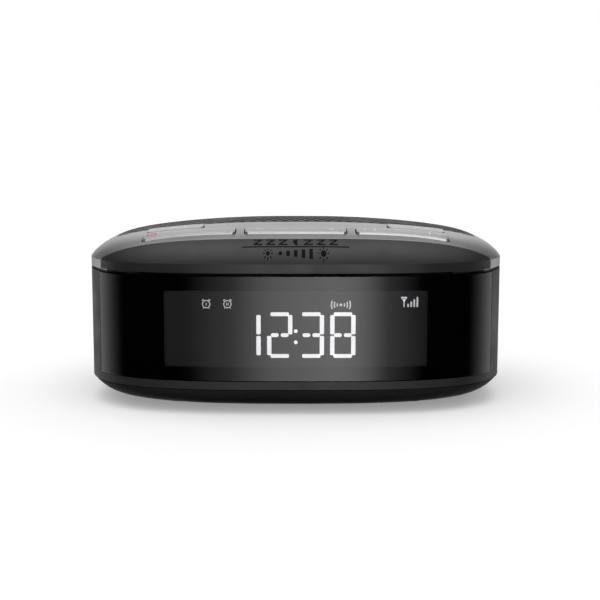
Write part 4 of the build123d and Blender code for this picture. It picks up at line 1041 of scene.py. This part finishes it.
# Each card has what its turn is measured from, its edges round and its edges up in degrees, and its
# brightness. It rises between its first two edges and falls between its last two.
CARDS = [
    # the softbox ahead: its bright middle and its wide glow
    ("lamp", (*whole, 0, 14), (*low_start, 12, 40), 2.05),
    ("lamp", (*whole, 0, 30), (*low_start, 12, 40), 0.95),
    # dim walls at the sides, and the pale floor in front of them
    ("front", (76, 126, 134, 150), (*low_start, 20, 45), 0.12),
    ("front", (70, 112, 134, 150), (*low_start, -4, 2), 0.75),
    # white paper behind
    ("back", (*whole, 8, 46), (*low_start, 26, 40), 0.92),
    # the ceiling
    ("front", (*whole, 179, 181), (32, 80, 91, 92), 1.7),
]


def smooth_step(tree, value, low, high):
    """Rises smoothly from 0 at low to 1 at high."""
    node = tree.nodes.new("ShaderNodeMapRange")
    node.interpolation_type = "SMOOTHSTEP"
    node.inputs["From Min"].default_value = low
    node.inputs["From Max"].default_value = high
    link(tree, value, node.inputs["Value"])
    return node.outputs["Result"]


def band(tree, value, edges, level):
    """Rises from 0 to level between the first two edges and falls between the last two."""
    both = math_node(tree, "MULTIPLY", smooth_step(tree, value, edges[0], edges[1]),
                     smooth_step(tree, value, edges[3], edges[2]))
    return math_node(tree, "MULTIPLY", both, level)


def card_light():
    """The light of all cards, by direction from the middle of their sphere."""
    material = bpy.data.materials.new("card_light")
    material.use_nodes = True
    tree = material.node_tree
    tree.nodes.remove(tree.nodes["Principled BSDF"])
    emission = tree.nodes.new("ShaderNodeEmission")
    link(tree, emission.outputs["Emission"], tree.nodes["Material Output"].inputs["Surface"])
    unit = tree.nodes.new("ShaderNodeVectorMath")
    unit.operation = "NORMALIZE"
    link(tree, object_coords(tree), unit.inputs[0])
    split = tree.nodes.new("ShaderNodeSeparateXYZ")
    link(tree, unit.outputs["Vector"], split.inputs["Vector"])
    ahead = math_node(tree, "MULTIPLY", split.outputs["Y"], -1.0)
    round_angle = math_node(tree, "ARCTAN2", split.outputs["X"], ahead)
    degrees_round = math_node(tree, "MULTIPLY", round_angle, 180 / math.pi)
    climb = math_node(tree, "MULTIPLY", math_node(tree, "ARCSINE", split.outputs["Z"]), 180 / math.pi)
    from_front = math_node(tree, "ABSOLUTE", degrees_round)
    turn_from = {
        "front": from_front,
        "back": math_node(tree, "SUBTRACT", 180.0, from_front),
        "lamp": math_node(tree, "ABSOLUTE", math_node(tree, "SUBTRACT", degrees_round, lamp_turn)),
    }
    total = None
    for place, round_edges, high_edges, level in CARDS:
        sideways = band(tree, turn_from[place], round_edges, 1.0)
        card = math_node(tree, "MULTIPLY", sideways, band(tree, climb, high_edges, level))
        total = card if total is None else math_node(tree, "ADD", total, card)
    link(tree, total, emission.inputs["Strength"])
    return material


maker = bmesh.new()
bmesh.ops.create_uvsphere(maker, u_segments=48, v_segments=24, radius=2.0)
cards = stage_object("reflection_cards", maker, card_light())
for ray in ("camera", "diffuse", "transmission", "volume_scatter", "shadow"):
    setattr(cards, "visible_" + ray, False)

# ---------------------------------------------------------------- light
soft_light = 0.68           # the world's strength, except where it is seen, mirrored or shines through glass
world = bpy.data.worlds.new("studio")
bpy.context.scene.world = world
world.use_nodes = True
tree = world.node_tree
background = tree.nodes["Background"]
background.inputs["Color"].default_value = (1.0, 1.0, 1.0, 1.0)
path = tree.nodes.new("ShaderNodeLightPath")
seen = math_node(tree, "MAXIMUM", path.outputs["Is Camera Ray"], path.outputs["Is Glossy Ray"])
seen = math_node(tree, "MAXIMUM", seen, path.outputs["Is Transmission Ray"])
link(tree, math_node(tree, "MAXIMUM", seen, soft_light), background.inputs["Strength"])

sun_data = bpy.data.lights.new("window_light", "SUN")
sun_data.energy = 1.0
sun_data.angle = math.radians(70.0)
sun = bpy.data.objects.new("window_light", sun_data)
bpy.context.scene.collection.objects.link(sun)
sun.rotation_euler = (math.radians(12.0), math.radians(-6.0), 0.0)
sun.visible_glossy = False

# ---------------------------------------------------------------- camera
camera_data = bpy.data.cameras.new("camera")
camera_data.lens = 70.6
camera_data.sensor_width = 36.0
camera_data.shift_x = 0.0071
camera_data.clip_start = 0.01
camera = bpy.data.objects.new("camera", camera_data)
bpy.context.scene.collection.objects.link(camera)
camera.location = (0.0, -0.443, 0.0933)
camera.rotation_euler = (math.radians(90.0 - 7.75), 0.0, 0.0)
bpy.context.scene.camera = camera
bpy.context.scene.view_settings.view_transform = "Standard"
